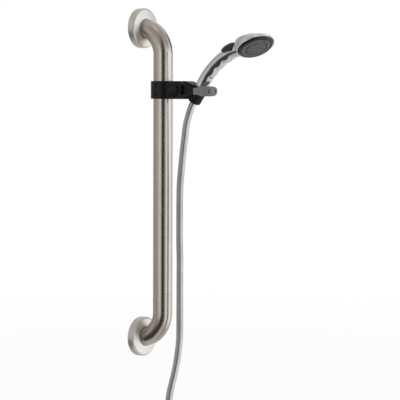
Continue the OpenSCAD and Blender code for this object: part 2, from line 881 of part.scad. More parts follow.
// Rings of points over the drum from its rim inwards, and its pole
function head_rings(r, h) = concat(
    [for (i = [0 : HEAD_SIDES - 1]) [r * cos(360 * i / HEAD_SIDES), r * sin(360 * i / HEAD_SIDES), 0]],
    [for (k = [1 : HEAD_RINGS - 1], i = [0 : HEAD_SIDES - 1])
        head_point(90 * k / HEAD_RINGS, 360 * i / HEAD_SIDES, r, h)],
    [[0, 0, -h]]);
module head_drum() {
    m = HEAD_SIDES;
    size = HEAD_RINGS * m;
    pole = [for (i = [0 : m - 1]) [size, size - m + i, size - m + (i + 1) % m]];
    rim = [for (i = [0 : m - 1])
        let (j = (i + 1) % m, b = size + 1)
        each [[i, b + i, b + j], [i, b + j, j]]];
    polyhedron(points = concat(head_rings(head_r, head_h), head_rings(head_in, head_h - head_t)),
        faces = concat(wall_faces(HEAD_RINGS, m), pole, rim,
            flipped(wall_faces(HEAD_RINGS, m, size + 1)),
            [for (f = flipped(pole)) [f[0] + size + 1, f[1] + size + 1, f[2] + size + 1]]));
}

// Cross-section of the neck, with the handle's own sides
module neck_section(r) {
    polygon([for (i = [0 : HANDLE_SIDES - 1])
        let (a = 360 * i / HANDLE_SIDES)
        [r * sin(a), -r * cos(a)]]);
}
module head_shell() {
    color(chrome)
        difference() {
            head_frame()
                head_drum();
            hand_frame()
                at_handle(handle_len)
                    translate([0, 0, -over])
                        linear_extrude(neck_straight + 4)
                            neck_section(handle_seat_r + 2 * touch);
        }
}

module head_bezel() {
    color(black)
        head_frame()
            rotate_extrude($fn = 96)
                polygon([[bezel_in, -bezel_h], [tip_in(bezel_h) - gap, -bezel_h],
                    [tip_in(bezel_h / 2) - gap, -bezel_h / 2], [head_in * cos(180 / HEAD_SIDES) - gap, -gap],
                    [head_in - 1.2, -gap], [bezel_in + 0.6, ring_top - 0.6], [bezel_in, ring_top - 0.8]]);
}

module nozzle_places(rings) {
    for (row = rings, i = [0 : row[1] - 1])
        rotate([0, 0, 360 * (i + 0.5) / row[1]])
            translate([row[0], 0, 0])
                children();
}

module spray_face() {
    back = face_top - face_h;
    color(grey)
        head_frame()
            difference() {
                rotate_extrude($fn = 96)
                    polygon([[0, back], [face_r, back], [face_r, face_top - 1.8],
                        [face_r - 1.4, face_top], [0, face_top]]);
                nozzle_places(face_rings)
                    translate([0, 0, back - over])
                        cylinder(h = face_h + 2 * over, r = nozzle_r + touch, $fn = 16);
            }
}
module face_nozzles() {
    back = face_top - face_h;
    color(rubber)
        head_frame() {
            translate([0, 0, back - mat_t])
                cylinder(h = mat_t - touch, r = face_r - 0.5, $fn = 96);
            nozzle_places(face_rings)
                translate([0, 0, back - mat_t / 2])
                    cylinder(h = mat_t / 2 + face_h + nozzle_up, r = nozzle_r, $fn = 16);
        }
}

module selector_ring() {
    back = ring_top - ring_h;
    color(grey)
        head_frame()
            difference() {
                union() {
                    rotate_extrude($fn = 96)
                        polygon([[ring_in, back], [ring_out, back], [ring_out, ring_top - 0.8],
                            [ring_out - 0.8, ring_top], [ring_in, ring_top]]);
                    // grip tab at the far tip
                    rotate([90, 0, 90])
                        translate([0, 0, -tab_w / 2])
                            linear_extrude(tab_w)
                                polygon([[ring_out - 1.4, ring_top - 0.5], [ring_out - 0.9, ring_top - 0.5],
                                    [ring_out + 1.4, ring_top + 0.6], [ring_out + 1.4, ring_top + 2.2],
                                    [ring_out - 1.4, ring_top + 2.6]]);
                }
                nozzle_places(ring_rings)
                    translate([0, 0, back - over])
                        cylinder(h = ring_h + 2 * over, r = nozzle_r + touch, $fn = 16);
            }
}
module ring_nozzles() {
    back = ring_top - ring_h;
    color(rubber)
        head_frame() {
            translate([0, 0, back - mat_t])
                difference() {
                    cylinder(h = mat_t - touch, r = ring_out - 1.4, $fn = 96);
                    translate([0, 0, -over])
                        cylinder(h = mat_t + 2 * over, r = web_r + touch, $fn = 96);
                }
            nozzle_places(ring_rings)
                translate([0, 0, back - mat_t / 2])
                    cylinder(h = mat_t / 2 + ring_h + nozzle_up, r = nozzle_r, $fn = 16);
        }
}

// Turns with the selector ring and opens one group of ports at a time
module diverter_disc() {
    back = ring_top - ring_h;
    low = disc_top - disc_h;
    color(white)
        head_frame()
            difference() {
                union() {
                    translate([0, 0, low])
                        cylinder(h = disc_h, r = disc_r, $fn = 96);
                    translate([0, 0, low - web_h])
                        cylinder(h = web_h, r = web_r, $fn = 96);
                    ring(web_r, ring_in, low - web_h / 2, back - touch);
                }
                for (i = [0 : 4])
                    rotate([0, 0, 72 * i])
                        translate([disc_r - 5, 0, low - web_h - over])
                            cylinder(h = disc_h + web_h + 2 * over, r = 2.6, $fn = 32);
            }
}

module water_chamber() {
    foot = chamber_top - chamber_h;
    color(white)
        difference() {
            union() {
                head_frame()
                    translate([0, 0, foot])
                        cylinder(h = chamber_h, r = chamber_r, $fn = 96);
                hand_frame()
                    at_handle(handle_len)
                        translate([0, 0, -socket_len])
                            cylinder(h = socket_len + neck_straight + head_r / 2, r = pipe_r + 1.8, $fn = 64);
            }
            head_frame()
                translate([0, 0, foot + chamber_t])
                    cylinder(h = chamber_h, r = chamber_r - 2 * chamber_t, $fn = 96);
            head_frame()
                translate([0, 0, chamber_top])
                    cylinder(h = 2 * chamber_h, r = 2 * chamber_r, $fn = 96);
            hand_frame()
                at_handle(handle_len) {
                    cylinder(h = neck_straight + head_r / 2 + over, r = water_r, $fn = 64);
                    translate([0, 0, -socket_len - over])
                        cylinder(h = socket_len + over + gap, r = pipe_r + gap, $fn = 64);
                }
        }
}
module chamber_seal() {
    color(rubber)
        head_frame()
            translate([0, 0, chamber_top + gap / 2])
                ring(chamber_r - 0.4, chamber_r - 2 * chamber_t + 0.4, 0, 0.1);
}

module pipe_run(r, t0, turn) {
    translate([0, 0, t0])
        cylinder(h = -t0, r = r, $fn = 48);
    translate([0, -handle_r, 0])
        rotate([90, 0, 90])
            rotate_extrude(angle = turn, $fn = 96)
                translate([handle_r, 0])
                    circle(r = r, $fn = 48);
}
module water_tube() {
    color(white)
        hand_frame()
            difference() {
                pipe_run(pipe_r, cup_mouth + 1.5, neck_turn);
                pipe_run(water_r, cup_mouth + 1.5 - over, neck_turn + over);
            }
}

module inlet_stub() {
    color(brass)
        hand_frame()
            difference() {
                union() {
                    translate([0, 0, stub_foot])
                        cylinder(h = stub_len + 0.2, r = thread_r - fit, $fn = 96);
                    translate([0, 0, nut_top])
                        cylinder(h = stub_flange, r = handle_in * cos(180 / HANDLE_SIDES) - 2 * gap, $fn = 96);
                }
                translate([0, 0, stub_foot - over])
                    cylinder(h = 2 * stub_len + 2 * stub_flange, r = water_r, $fn = 48);
                translate([0, 0, cup_mouth + 1.5])
                    cylinder(h = 2 * stub_flange, r = pipe_r + gap, $fn = 48);
                translate([0, 0, stub_foot - over])
                    cylinder(h = over + 2, r = 6.4, $fn = 48);
            }
}
module inlet_filter() {
    color(metal)
        hand_frame()
            translate([0, 0, stub_foot + 0.4]) {
                ring(6.4 - touch, 4.6, 0, 1.5);
                translate([0, 0, 0.5])
                    cylinder(h = 0.4, r = 5, $fn = 48);
            }
}
module inlet_washer() {
    color(rubber)
        hand_frame()
            ring(thread_r - 2 * fit, water_r, washer_foot, stub_foot - touch);
}

module swivel_nut() {
    color(chrome)
        hand_frame()
            difference() {
                translate([0, 0, nut_foot])
                    cylinder(h = nut_top - nut_foot, r1 = sleeve_in(nut_foot) - 2 * fit,
                        r2 = sleeve_in(nut_top) - 2 * fit, $fn = 96);
                translate([0, 0, shoulder_top])
                    cylinder(h = nut_top - shoulder_top + over, r = thread_r, $fn = 96);
                translate([0, 0, shoulder_foot - over])
                    cylinder(h = 4 * over, r = nipple_r + 2 * fit, $fn = 64);
                translate([0, 0, nut_foot - over])
                    cylinder(h = shoulder_foot - nut_foot + over, r = ferrule_r + gap, $fn = 64);
            }
}

// Bean-shaped push cap that follows the back of the neck
function button_rise(t) =
    let (w = (t - button_t0) / (button_t1 - button_t0))
    pow(max(0, sin(180 * w)), 0.45);
module pause_button() {
    m = 14;
    t0 = button_t0 + 0.8;
    t1 = button_t1 - 0.8;
    n = 13;
    span = 58;
    pts = [for (k = [0 : n - 1], i = [0 : 2 * m + 1])
        let (
            t = t0 + (t1 - t0) * k / (n - 1),
            up = i <= m,
            w = up ? i / m : (2 * m + 1 - i) / m,
            a = 180 + span * (2 * w - 1),
            crown = pow(max(0, 1 - pow(abs(2 * w - 1), 3)), 0.5),
            r = up ? button_in + 0.8 + (button_out - button_in - 0.8) * button_rise(t) * crown : button_in
        )
        handle_point(t, a, r)];
    row = 2 * m + 2;
    cap = [for (i = [0 : m - 1]) each [[i, i + 1, row - 2 - i], [i, row - 2 - i, row - 1 - i]]];
    last = (n - 1) * row;
    cap_end = [for (f = cap) [f[2] + last, f[1] + last, f[0] + last]];
    color(black)
        hand_frame()
            difference() {
                polyhedron(points = pts, faces = concat(cap, flipped(wall_faces(n, row)), cap_end));
                // pocket for the spring
                at_handle((button_t0 + button_t1) / 2)
                    rotate([-90, 0, 0])
                        translate([0, 0, button_floor])
                            cylinder(h = button_in - button_floor + button_pocket_h, r = button_pocket_r, $fn = 32);
            }
}
module button_spring() {
    mid = (button_t0 + button_t1) / 2;
    color(metal)
        hand_frame()
            at_handle(mid)
                rotate([-90, 0, 0])
                    translate([0, 0, button_floor + 0.1])
                        helix_spring(button_pocket_r - 0.8, 0.3,
                            button_in - button_floor + button_pocket_h - 0.2, 3, 12, 6);
}

// ---------------------------------------------------------------- hose

module hose_nipple() {
    color(brass)
        seat_frame()
            difference() {
                union() {
                    translate([0, 0, flange_foot])
                        cylinder(h = flange_t, r = thread_r - gap, $fn = 96);
                    translate([0, 0, hose_top])
                        cylinder(h = flange_foot - hose_top + flange_t / 2, r = nipple_r, $fn = 64);
                }
                translate([0, 0, hose_top - over])
                    cylinder(h = flange_foot - hose_top + flange_t + 2 * over, r = water_r, $fn = 48);
            }
}
module hose_ferrule() {
    color(chrome)
        seat_frame()
            difference() {
                translate([0, 0, ferrule_foot])
                    cylinder(h = ferrule_top - ferrule_foot, r = ferrule_r, $fn = 64);
                translate([0, 0, hose_top])
                    cylinder(h = 2 * ferrule_r, r = nipple_r + touch, $fn = 64);
                translate([0, 0, ferrule_foot - over])
                    cylinder(h = hose_top - ferrule_foot + over, r = hose_d / 2 + 3 * fit, $fn = 64);
            }
}

// Smooth curve through the route's points (Catmull-Rom), and its rings
function spline(p, i, t) =
    let (
        n = len(p) - 1,
        a = p[max(i - 1, 0)], b = p[i], c = p[min(i + 1, n)], d = p[min(i + 2, n)]
    )
    0.5 * (2 * b + (c - a) * t + (2 * a - 5 * b + 4 * c - d) * t * t
        + (3 * b - a - 3 * c + d) * t * t * t);
function unit(v) = v / norm(v);
// World place of a point s along the cup's axis
function cup_point(s) = [0, -bar_q - seat_q - s * cos(cup_el), slider_z + seat_z + s * sin(cup_el)];

module tube_along(path, r, sides) {
    n = len(path);
    pts = [for (k = [0 : n - 1], i = [0 : sides - 1])
        let (
            dir = unit(path[min(k + 1, n - 1)] - path[max(k - 1, 0)]),
            flat = unit(cross(dir, [0.6, 0.8, 0.05])),
            up = cross(dir, flat),
            w = 360 * i / sides
        )
        path[k] + r * (cos(w) * flat + sin(w) * up)];
    last = (n - 1) * sides;
    polyhedron(points = pts, faces = concat(
        [for (i = [1 : sides - 2]) [0, i, i + 1]],
        flipped(wall_faces(n, sides)),
        [for (i = [1 : sides - 2]) [last, last + i + 1, last + i]]));
}

module hose() {
    knots = concat([cup_point(hose_top - touch), cup_point((hose_top + cup_foot) / 2)], HOSE_ROUTE);
    path = concat([for (i = [0 : len(knots) - 2], k = [0 : HOSE_STEPS - 1]) spline(knots, i, k / HOSE_STEPS)],
        [knots[len(knots) - 1]]);
    color(chrome)
        tube_along(path, hose_d / 2, HOSE_SIDES);
}

module hose_coil() {
    color(chrome)
        translate([coil_x, coil_y, 0])
            rotate_extrude($fn = 96)
                translate([coil_r, 0]) {
                    translate([0, coil_z])
                        circle(r = hose_d / 2, $fn = 48);
                    translate([0, coil_low_z])
                        circle(r = hose_d / 2, $fn = 48);
                    translate([-hose_d / 2, coil_low_z])
                        square([hose_d, coil_pitch]);
                }
}

// Frame at the end of the straight tail: Z runs on along the hose
module tail_frame() {
    translate([coil_x - tail_len, tail_y, tail_z])
        rotate([0, -90, 0])
            children();
}
module hose_tail() {
    bend = tail_len - crimp - over;
    path = concat([for (i = [0 : TAIL_STEPS])
        [coil_x - bend * i / TAIL_STEPS, tail_y,
            coil_low_z + (tail_z - coil_low_z) * (1 - cos(180 * i / TAIL_STEPS)) / 2]],
        [[coil_x - tail_len, tail_y, tail_z]]);
    color(chrome)
        tube_along(path, hose_d / 2, HOSE_SIDES);
}
module end_ferrule() {
    color(chrome)
        tail_frame()
            difference() {
                translate([0, 0, -crimp])
                    cylinder(h = crimp + 4, r = ferrule_r, $fn = 64);
                translate([0, 0, -crimp - over])
                    cylinder(h = crimp + over + touch, r = hose_d / 2 + touch, $fn = 64);
                cylinder(h = 16, r = nipple_r + touch, $fn = 64);
            }
}
module end_nipple() {
    color(brass)
        tail_frame()
            difference() {
                union() {
                    translate([0, 0, touch])
                        cylinder(h = 9, r = nipple_r, $fn = 64);
                    translate([0, 0, 8])
                        cylinder(h = flange_t, r = thread_r - gap, $fn = 96);
                }
                translate([0, 0, -over])
                    cylinder(h = 16, r = water_r, $fn = 48);
            }
}
module end_nut() {
    nut_low = 5;
    nut_high = 21;
    relief_r = thread_r + 0.4;
    color(chrome)
        tail_frame()
            difference() {
                translate([0, 0, nut_low])
                    cylinder(h = nut_high - nut_low, r = nut_r, $fn = 6);
                translate([0, 0, 8 - gap])
                    cylinder(h = nut_high, r = thread_r, $fn = 96);
                // relief behind the thread, for the nipple's flange and the washer
                translate([0, 0, 8 - gap])
                    cylinder(h = end_thread - 8 + gap, r = relief_r, $fn = 96);
                translate([0, 0, nut_low - over])
                    cylinder(h = 8, r = nipple_r + 2 * fit, $fn = 64);
            }
}
module end_washer() {
    color(rubber)
        tail_frame()
            ring(thread_r - gap, water_r, 8 + flange_t + touch, 8 + flange_t + 2);
}

grab_bar();
upper_wall_plate();
lower_wall_plate();
upper_cover();
lower_cover();
slide_liner();
holder_body();
collar_back();
collar_screws();
cup_sleeve();
lever();
lever_grip();
lever_pin();
pivot_cap();
pin_washer();
clamp_cam();
clamp_shoe();
lever_spring();
handle_shell();
head_shell();
head_bezel();
spray_face();
face_nozzles();
selector_ring();
ring_nozzles();
diverter_disc();
water_chamber();
chamber_seal();
water_tube();
inlet_stub();
inlet_filter();
inlet_washer();
swivel_nut();
pause_button();
button_spring();
hose_nipple();
hose_ferrule();
hose();
hose_coil();
hose_tail();
end_ferrule();
end_nipple();
end_nut();
end_washer();
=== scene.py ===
"""Dressed model of a hand shower set: a wall grab bar with a sliding lever holder, a curved hand shower and its hose.

The layout and the sub-assemblies hold their sizes in millimetres and degrees. The studio's sizes, the finishes' depths
and every mesh are in metres. Every finished piece has its object at the origin and its place in its mesh.
"""

import logging
import math
from dataclasses import dataclass, field
from enum import Enum
from typing import Sequence

import bmesh
import bpy
import numpy as np
from mathutils import Matrix, Vector


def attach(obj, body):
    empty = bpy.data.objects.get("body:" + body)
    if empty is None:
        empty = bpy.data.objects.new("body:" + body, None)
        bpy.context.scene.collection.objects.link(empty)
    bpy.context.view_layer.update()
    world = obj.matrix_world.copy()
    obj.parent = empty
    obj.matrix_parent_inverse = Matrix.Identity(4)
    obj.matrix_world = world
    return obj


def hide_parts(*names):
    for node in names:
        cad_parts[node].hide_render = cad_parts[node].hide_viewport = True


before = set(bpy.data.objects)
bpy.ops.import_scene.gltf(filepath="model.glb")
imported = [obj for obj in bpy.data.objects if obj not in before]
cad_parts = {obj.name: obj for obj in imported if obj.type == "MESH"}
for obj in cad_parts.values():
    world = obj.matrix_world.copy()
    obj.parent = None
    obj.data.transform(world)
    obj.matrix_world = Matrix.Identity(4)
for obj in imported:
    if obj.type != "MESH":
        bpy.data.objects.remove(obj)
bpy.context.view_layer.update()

LOG = logging.getLogger("hand_shower_set")
MM = 0.001
# In metres: closer than this is one place. In degrees: faces bent by less are one, edges bent by more are rounded.
SAME_PLACE = 2e-6
FLAT_ANGLE = 0.6
EDGE_ANGLE = 28.0
# Share of its radius that the solid head's 40-sided inside keeps at the middle of a side.
FACET = math.cos(math.pi / 40)
# Where most of a noise's values lie, and the constants that the finishes share.
NOISE_SPAN = (0.3, 0.7)
MOTTLE_SIZE = 35.0
LINE_STRETCH = 0.02
COAT_ROUGHNESS = 0.06
DUST_SIZE = 120.0
DUST_COLOUR = (0.62, 0.60, 0.57, 1.0)

Array = np.ndarray
Socket = bpy.types.NodeSocket
Pair = tuple[float, float]
Colour = tuple[float, float, float]


# ---------------------------------------------------------------- numbers and frames


def turn_about_x(degrees: float) -> Array:
    """Rotation matrix about X by an angle in degrees."""
    c, s = math.cos(math.radians(degrees)), math.sin(math.radians(degrees))
    return np.array([[1, 0, 0], [0, c, -s], [0, s, c]])


def turn_about_z(degrees: float) -> Array:
    """Rotation matrix about Z by an angle in degrees."""
    c, s = math.cos(math.radians(degrees)), math.sin(math.radians(degrees))
    return np.array([[c, -s, 0], [s, c, 0], [0, 0, 1]])


def soft_step(low: float, high: float, x: Array) -> Array:
    """Goes from 0 at low to 1 at high along the cubic 3w^2 - 2w^3, where w is the share of the way."""
    w = np.clip((x - low) / (high - low), 0.0, 1.0)
    return w * w * (3 - 2 * w)


@dataclass(frozen=True)
class Place:
    """A local frame: a turn followed by a shift, both in the part's own frame."""

    turn: Array
    origin: Array

    def put(self, points: Array) -> Array:
        """Carries local points of any array shape (..., 3), in metres, into the part's frame."""
        return points @ self.turn.T + self.origin

    def then(self, turn: Array, shift: Sequence[float]) -> "Place":
        """Makes a frame inside this one.

        Args:
            turn: the inner frame's rotation matrix, as seen from this frame.
            shift: the inner frame's origin in this frame, in metres.

        Returns:
            The inner frame, as seen from the part's frame.
        """
        return Place(self.turn @ turn, self.put(np.asarray(shift, float)))


@dataclass(frozen=True)
class Layout:
    """Where the main axes of the set lie, in millimetres and degrees."""

    bar_out: float = 57.15
    bar_span: float = 609.6
    holder_height: float = -120.5
    seat_out: float = 96.0
    seat_rise: float = 10.0
    cup_slope: float = 58.5
    hand_spin: float = 13.5
    handle_curve: float = 141.0
    handle_length: float = 111.0
    head_drop: float = 6.55
    head_reach: float = 51.4
    face_lean: float = 71.9
    pivot_out: float = 37.0

    def wall(self) -> Place:
        """Frame on the wall whose Z points out of the wall, at the upper flange."""
        return Place(turn_about_x(90), np.zeros(3))

    def lower_wall(self) -> Place:
        """The same frame at the lower flange."""
        return Place(turn_about_x(90), np.array([0, 0, -self.bar_span * MM]))

    def holder(self) -> Place:
        """Frame on the bar's axis at the holder's middle."""
        return Place(np.eye(3), np.array([0, -self.bar_out, self.holder_height]) * MM)

    def seat(self) -> Place:
        """Frame at the cup's seat whose Z is the cup's axis.

        Returns:
            The frame.
        """
        return self.holder().then(
            turn_about_x(90 - self.cup_slope),
            [0, -self.seat_out * MM, self.seat_rise * MM],
        )

    def hand(self) -> Place:
        """Frame of the hand shower: Z along the handle's foot, -Y to the spray side."""
        return self.seat().then(turn_about_z(-self.hand_spin), [0, 0, 0])

    def head(self) -> Place:
        """Frame of the spray head: Z is the spray direction, +Y points to the far tip.

        The handle's axis is a circle of radius R: after a length L it has turned by w = L / R and ends at
        y = R (cos w - 1), z = R sin w.

        Returns:
            The frame.
        """
        r, w = self.handle_curve, self.handle_length / self.handle_curve
        end = self.hand().then(turn_about_x(math.degrees(w)), [0, r * (math.cos(w) - 1) * MM, r * math.sin(w) * MM])
        return end.then(turn_about_x(self.face_lean), [0, -self.head_drop * MM, self.head_reach * MM])

    def pivot(self) -> Place:
        """Frame at the lever's pivot whose Z points to the lever's side, -X."""
        side = np.array([[0, 0, -1], [0, 1, 0], [1, 0, 0]], float)
        return Place(side, np.array([0, -self.bar_out - self.pivot_out, self.holder_height]) * MM)


LAYOUT = Layout()


# ---------------------------------------------------------------- surfaces


@dataclass
class Surface:
    """A grid of points with its two lengths for the UV map, in metres."""

    points: Array
    along: Array
    around: Array
    wrap_along: bool = False
    wrap_around: bool = True

    def faces(self) -> tuple[Array, Array]:
        """Quads of the grid and their UVs.

        Returns:
            Corner indices (f, 4), and UVs (f, 4, 2) whose u runs along and v around.
        """
        n, m = self.points.shape[:2]
        rows = np.arange(n if self.wrap_along else n - 1)
        cols = np.arange(m if self.wrap_around else m - 1)
        i, j = np.meshgrid(rows, cols, indexing="ij")
        i, j = i.ravel(), j.ravel()
        i2, j2 = (i + 1) % n, (j + 1) % m
        quads = np.stack([i * m + j, i * m + j2, i2 * m + j2, i2 * m + j], 1)
        u = np.stack([self.along[i], self.along[i], self.along[i + 1], self.along[i + 1]], 1)
        v = np.stack([self.around[j], self.around[j + 1], self.around[j + 1], self.around[j]], 1)
        return quads, np.stack([u, v], 2)


def steps_length(points: Array) -> Array:
    """Running length along a line of points (n, 3), starting at 0."""
    return np.concatenate([[0.0], np.cumsum(np.linalg.norm(np.diff(points, axis=0), axis=1))])


def welded(points: Array, quads: Array, grain: float = 1e-7) -> tuple[Array, Array]:
    """Joins points that lie within a grain of each other.

    Args:
        points: all points, (n, 3).
        quads: corner indices, (f, 4).
        grain: size of the grid on which points count as the same, in metres.

    Returns:
        The remaining points and the quads that use them.
    """
    keys = np.round(points / grain).astype(np.int64)
    _, first, back = np.unique(keys, axis=0, return_index=True, return_inverse=True)
    return points[first], back.reshape(-1)[quads]


def signed_volume(points: Array, quads: Array) -> float:
    """Sum of the tetrahedra that the faces make with the origin; positive if they look outwards.

    Args:
        points: all points, (n, 3), in metres.
        quads: corner indices, (f, 4).

    Returns:
        The volume in cubic metres.
    """
    a, b, c, d = (points[quads[:, k]] for k in range(4))
    both = np.einsum("ij,ij->i", a, np.cross(b, c)) + np.einsum("ij,ij->i", a, np.cross(c, d))
    return float(both.sum() / 6)


def placed(name: str, data: bpy.types.ID) -> bpy.types.Object:
    """Makes an object of the data, at the origin, and links it to the scene.

    Args:
        name: the object's name.
        data: its mesh, camera or lamp.

    Returns:
        The new object.
    """
    thing = bpy.data.objects.new(name, data)
    bpy.context.scene.collection.objects.link(thing)
    return thing


def make_piece(name: str, surfaces: Sequence[Surface], sharp: float = 40.0, outwards: bool = True) -> bpy.types.Object:
    """Builds one object out of grids, with its poles closed and its faces turned outwards.

    Args:
        name: the object's name.
        surfaces: grids that together make the piece; equal points are joined.
        sharp: edges bent by more degrees than this stay sharp in shading.
        outwards: whether the piece is closed, so that its volume shows which way its faces look.

    Returns:
        The new object, at the origin.
    """
    points, quads, uvs, start = [], [], [], 0
    for surface in surfaces:
        q, uv = surface.faces()
        points.append(surface.points.reshape(-1, 3))
        quads.append(q + start)
        uvs.append(uv)
        start += len(points[-1])
    co, faces = welded(np.concatenate(points), np.concatenate(quads))
    uv = np.concatenate(uvs)
    if outwards and signed_volume(co, faces) < 0:
        faces, uv = faces[:, ::-1], uv[:, ::-1]
    same = faces == np.roll(faces, -1, axis=1)
    whole = ~same.any(1)
    once = same.sum(1) == 1
    keep = ~same[once]
    tris = faces[once][keep].reshape(-1, 3)
    uv_tris = uv[once][keep].reshape(-1, 3, 2)
    mesh = bpy.data.meshes.new(name)
    mesh.from_pydata(co.tolist(), [], faces[whole].tolist() + tris.tolist())
    layer = mesh.uv_layers.new(name="surface")
    layer.data.foreach_set("uv", np.concatenate([uv[whole].ravel(), uv_tris.ravel()]))
    mesh.shade_smooth()
    mesh.set_sharp_from_angle(angle=math.radians(sharp))
    return placed(name, mesh)


def rounded(corners: Sequence[Sequence[float]], steps: int = 6) -> Array:
    """Outline with round corners: an arc that touches both sides replaces each corner.

    Args:
        corners: entries of x, y and the corner's radius, in millimetres.
        steps: parts of each arc.

    Returns:
        Points (n, 2) in millimetres.
    """
    out: list[Array] = []
    count = len(corners)
    for k in range(count):
        before, here, after = (np.array(corners[(k + d) % count][:2], float) for d in (-1, 0, 1))
        radius = corners[k][2]
        if radius <= 0:
            out.append(here[None, :])
            continue
        a, b = before - here, after - here
        room = min(np.linalg.norm(a), np.linalg.norm(b))
        a, b = a / np.linalg.norm(a), b / np.linalg.norm(b)
        half = math.acos(float(np.clip(a @ b, -1, 1))) / 2
        reach = min(radius / math.tan(half), 0.49 * room)
        radius = reach * math.tan(half)
        middle = here + (a + b) / np.linalg.norm(a + b) * radius / math.sin(half)
        start, end = here + a * reach - middle, here + b * reach - middle
        a0 = math.atan2(start[1], start[0])
        swing = math.atan2(start[0] * end[1] - start[1] * end[0], float(start @ end))
        w = a0 + swing * np.linspace(0, 1, steps + 1)
        out.append(middle + radius * np.stack([np.cos(w), np.sin(w)], 1))
    return np.concatenate(out)


def revolved(outline: Array, place: Place, sides: int) -> Surface:
    """Surface of revolution about the frame's Z: a point (r, z) at the angle a lies at (r cos a, r sin a, z).

    Args:
        outline: closed outline of radius and height, in millimetres.
        place: the frame.
        sides: parts of the turn.

    Returns:
        The grid.
    """
    a = np.linspace(0, 2 * math.pi, sides, endpoint=False)
    r, z = outline[:, 0:1] * MM, outline[:, 1:2] * MM
    points = np.stack([r * np.cos(a), r * np.sin(a), z + 0 * a], 2)
    along = steps_length(np.concatenate([outline, outline[:1]])) * MM
    around = np.linspace(0, 2 * math.pi * float(outline[:, 0].max()) * MM, sides + 1)
    return Surface(place.put(points), along, around, wrap_along=True)


def swept(path: Array, side: Array, radius: Array, sides: int) -> Surface:
    """Tube round a line of points: at each point the circle lies in the plane square to the line.

    A point is path + radius (cos a * first + sin a * second), where first is the line's direction crossed with
    the side vector and second is the direction crossed with first.

    Args:
        path: the line, (n, 3), in metres.
        side: a vector that is nowhere along the line, (3,) or (n, 3).
        radius: (n, 1) or (n, sides), in metres.
        sides: points round the tube.

    Returns:
        The grid, open at both ends.
    """
    way = np.gradient(path, axis=0)
    way /= np.linalg.norm(way, axis=1, keepdims=True)
    first = np.cross(way, np.broadcast_to(side, path.shape))
    first /= np.linalg.norm(first, axis=1, keepdims=True)
    second = np.cross(way, first)
    a = np.linspace(0, 2 * math.pi, sides, endpoint=False)[None, :, None]
    ring = np.cos(a) * first[:, None, :] + np.sin(a) * second[:, None, :]
    points = path[:, None, :] + radius[..., None] * ring
    return Surface(points, steps_length(path), np.linspace(0, 2 * math.pi * float(radius.max()), sides + 1))


def lid(rim: Array, middle: Array) -> Surface:
    """Flat fan between a ring of points (m, 3) and its middle point.

    Args:
        rim: the ring.
        middle: its middle point, (3,).

    Returns:
        The grid.
    """
    points = np.stack([rim, np.broadcast_to(middle, rim.shape)])
    reach = float(np.linalg.norm(rim[0] - middle))
    return Surface(points, np.array([0, reach]), np.linspace(0, 2 * math.pi * reach, len(rim) + 1))


def bridge(one: Array, other: Array, surface: Surface) -> Surface:
    """Band between two rings of the same count of points."""
    wide = float(np.linalg.norm(one[0] - other[0]))
    return Surface(np.stack([one, other]), np.array([0.0, wide]), surface.around)


def curve_through(knots: Array, parts: int) -> Array:
    """Smooth curve through the knots: the Catmull-Rom cubic between each two, with the end knots repeated.

    Args:
        knots: points to pass, (n, 3).
        parts: points per stretch.

    Returns:
        Points along the curve.
    """
    n = len(knots) - 1
    i = np.arange(n)
    a, b = knots[np.maximum(i - 1, 0)][:, None], knots[i][:, None]
    c, d = knots[i + 1][:, None], knots[np.minimum(i + 2, n)][:, None]
    t = (np.arange(parts) / parts)[None, :, None]
    points = 0.5 * (2 * b + (c - a) * t + (2 * a - 5 * b + 4 * c - d) * t**2 + (3 * b - a - 3 * c + d) * t**3)
    return np.concatenate([points.reshape(-1, 3), knots[-1:]])


def evenly(points: Array, spacing: float) -> Array:
    """Points at equal steps of length along a line of points.

    Args:
        points: the line, (n, 3), in metres.
        spacing: about how long each step is, in metres.

    Returns:
        The new points.
    """
    length = steps_length(points)
    stops = np.linspace(0, length[-1], int(round(length[-1] / spacing)) + 1)
    return np.stack([np.interp(stops, length, points[:, k]) for k in range(3)], 1)


# ---------------------------------------------------------------- shader nodes


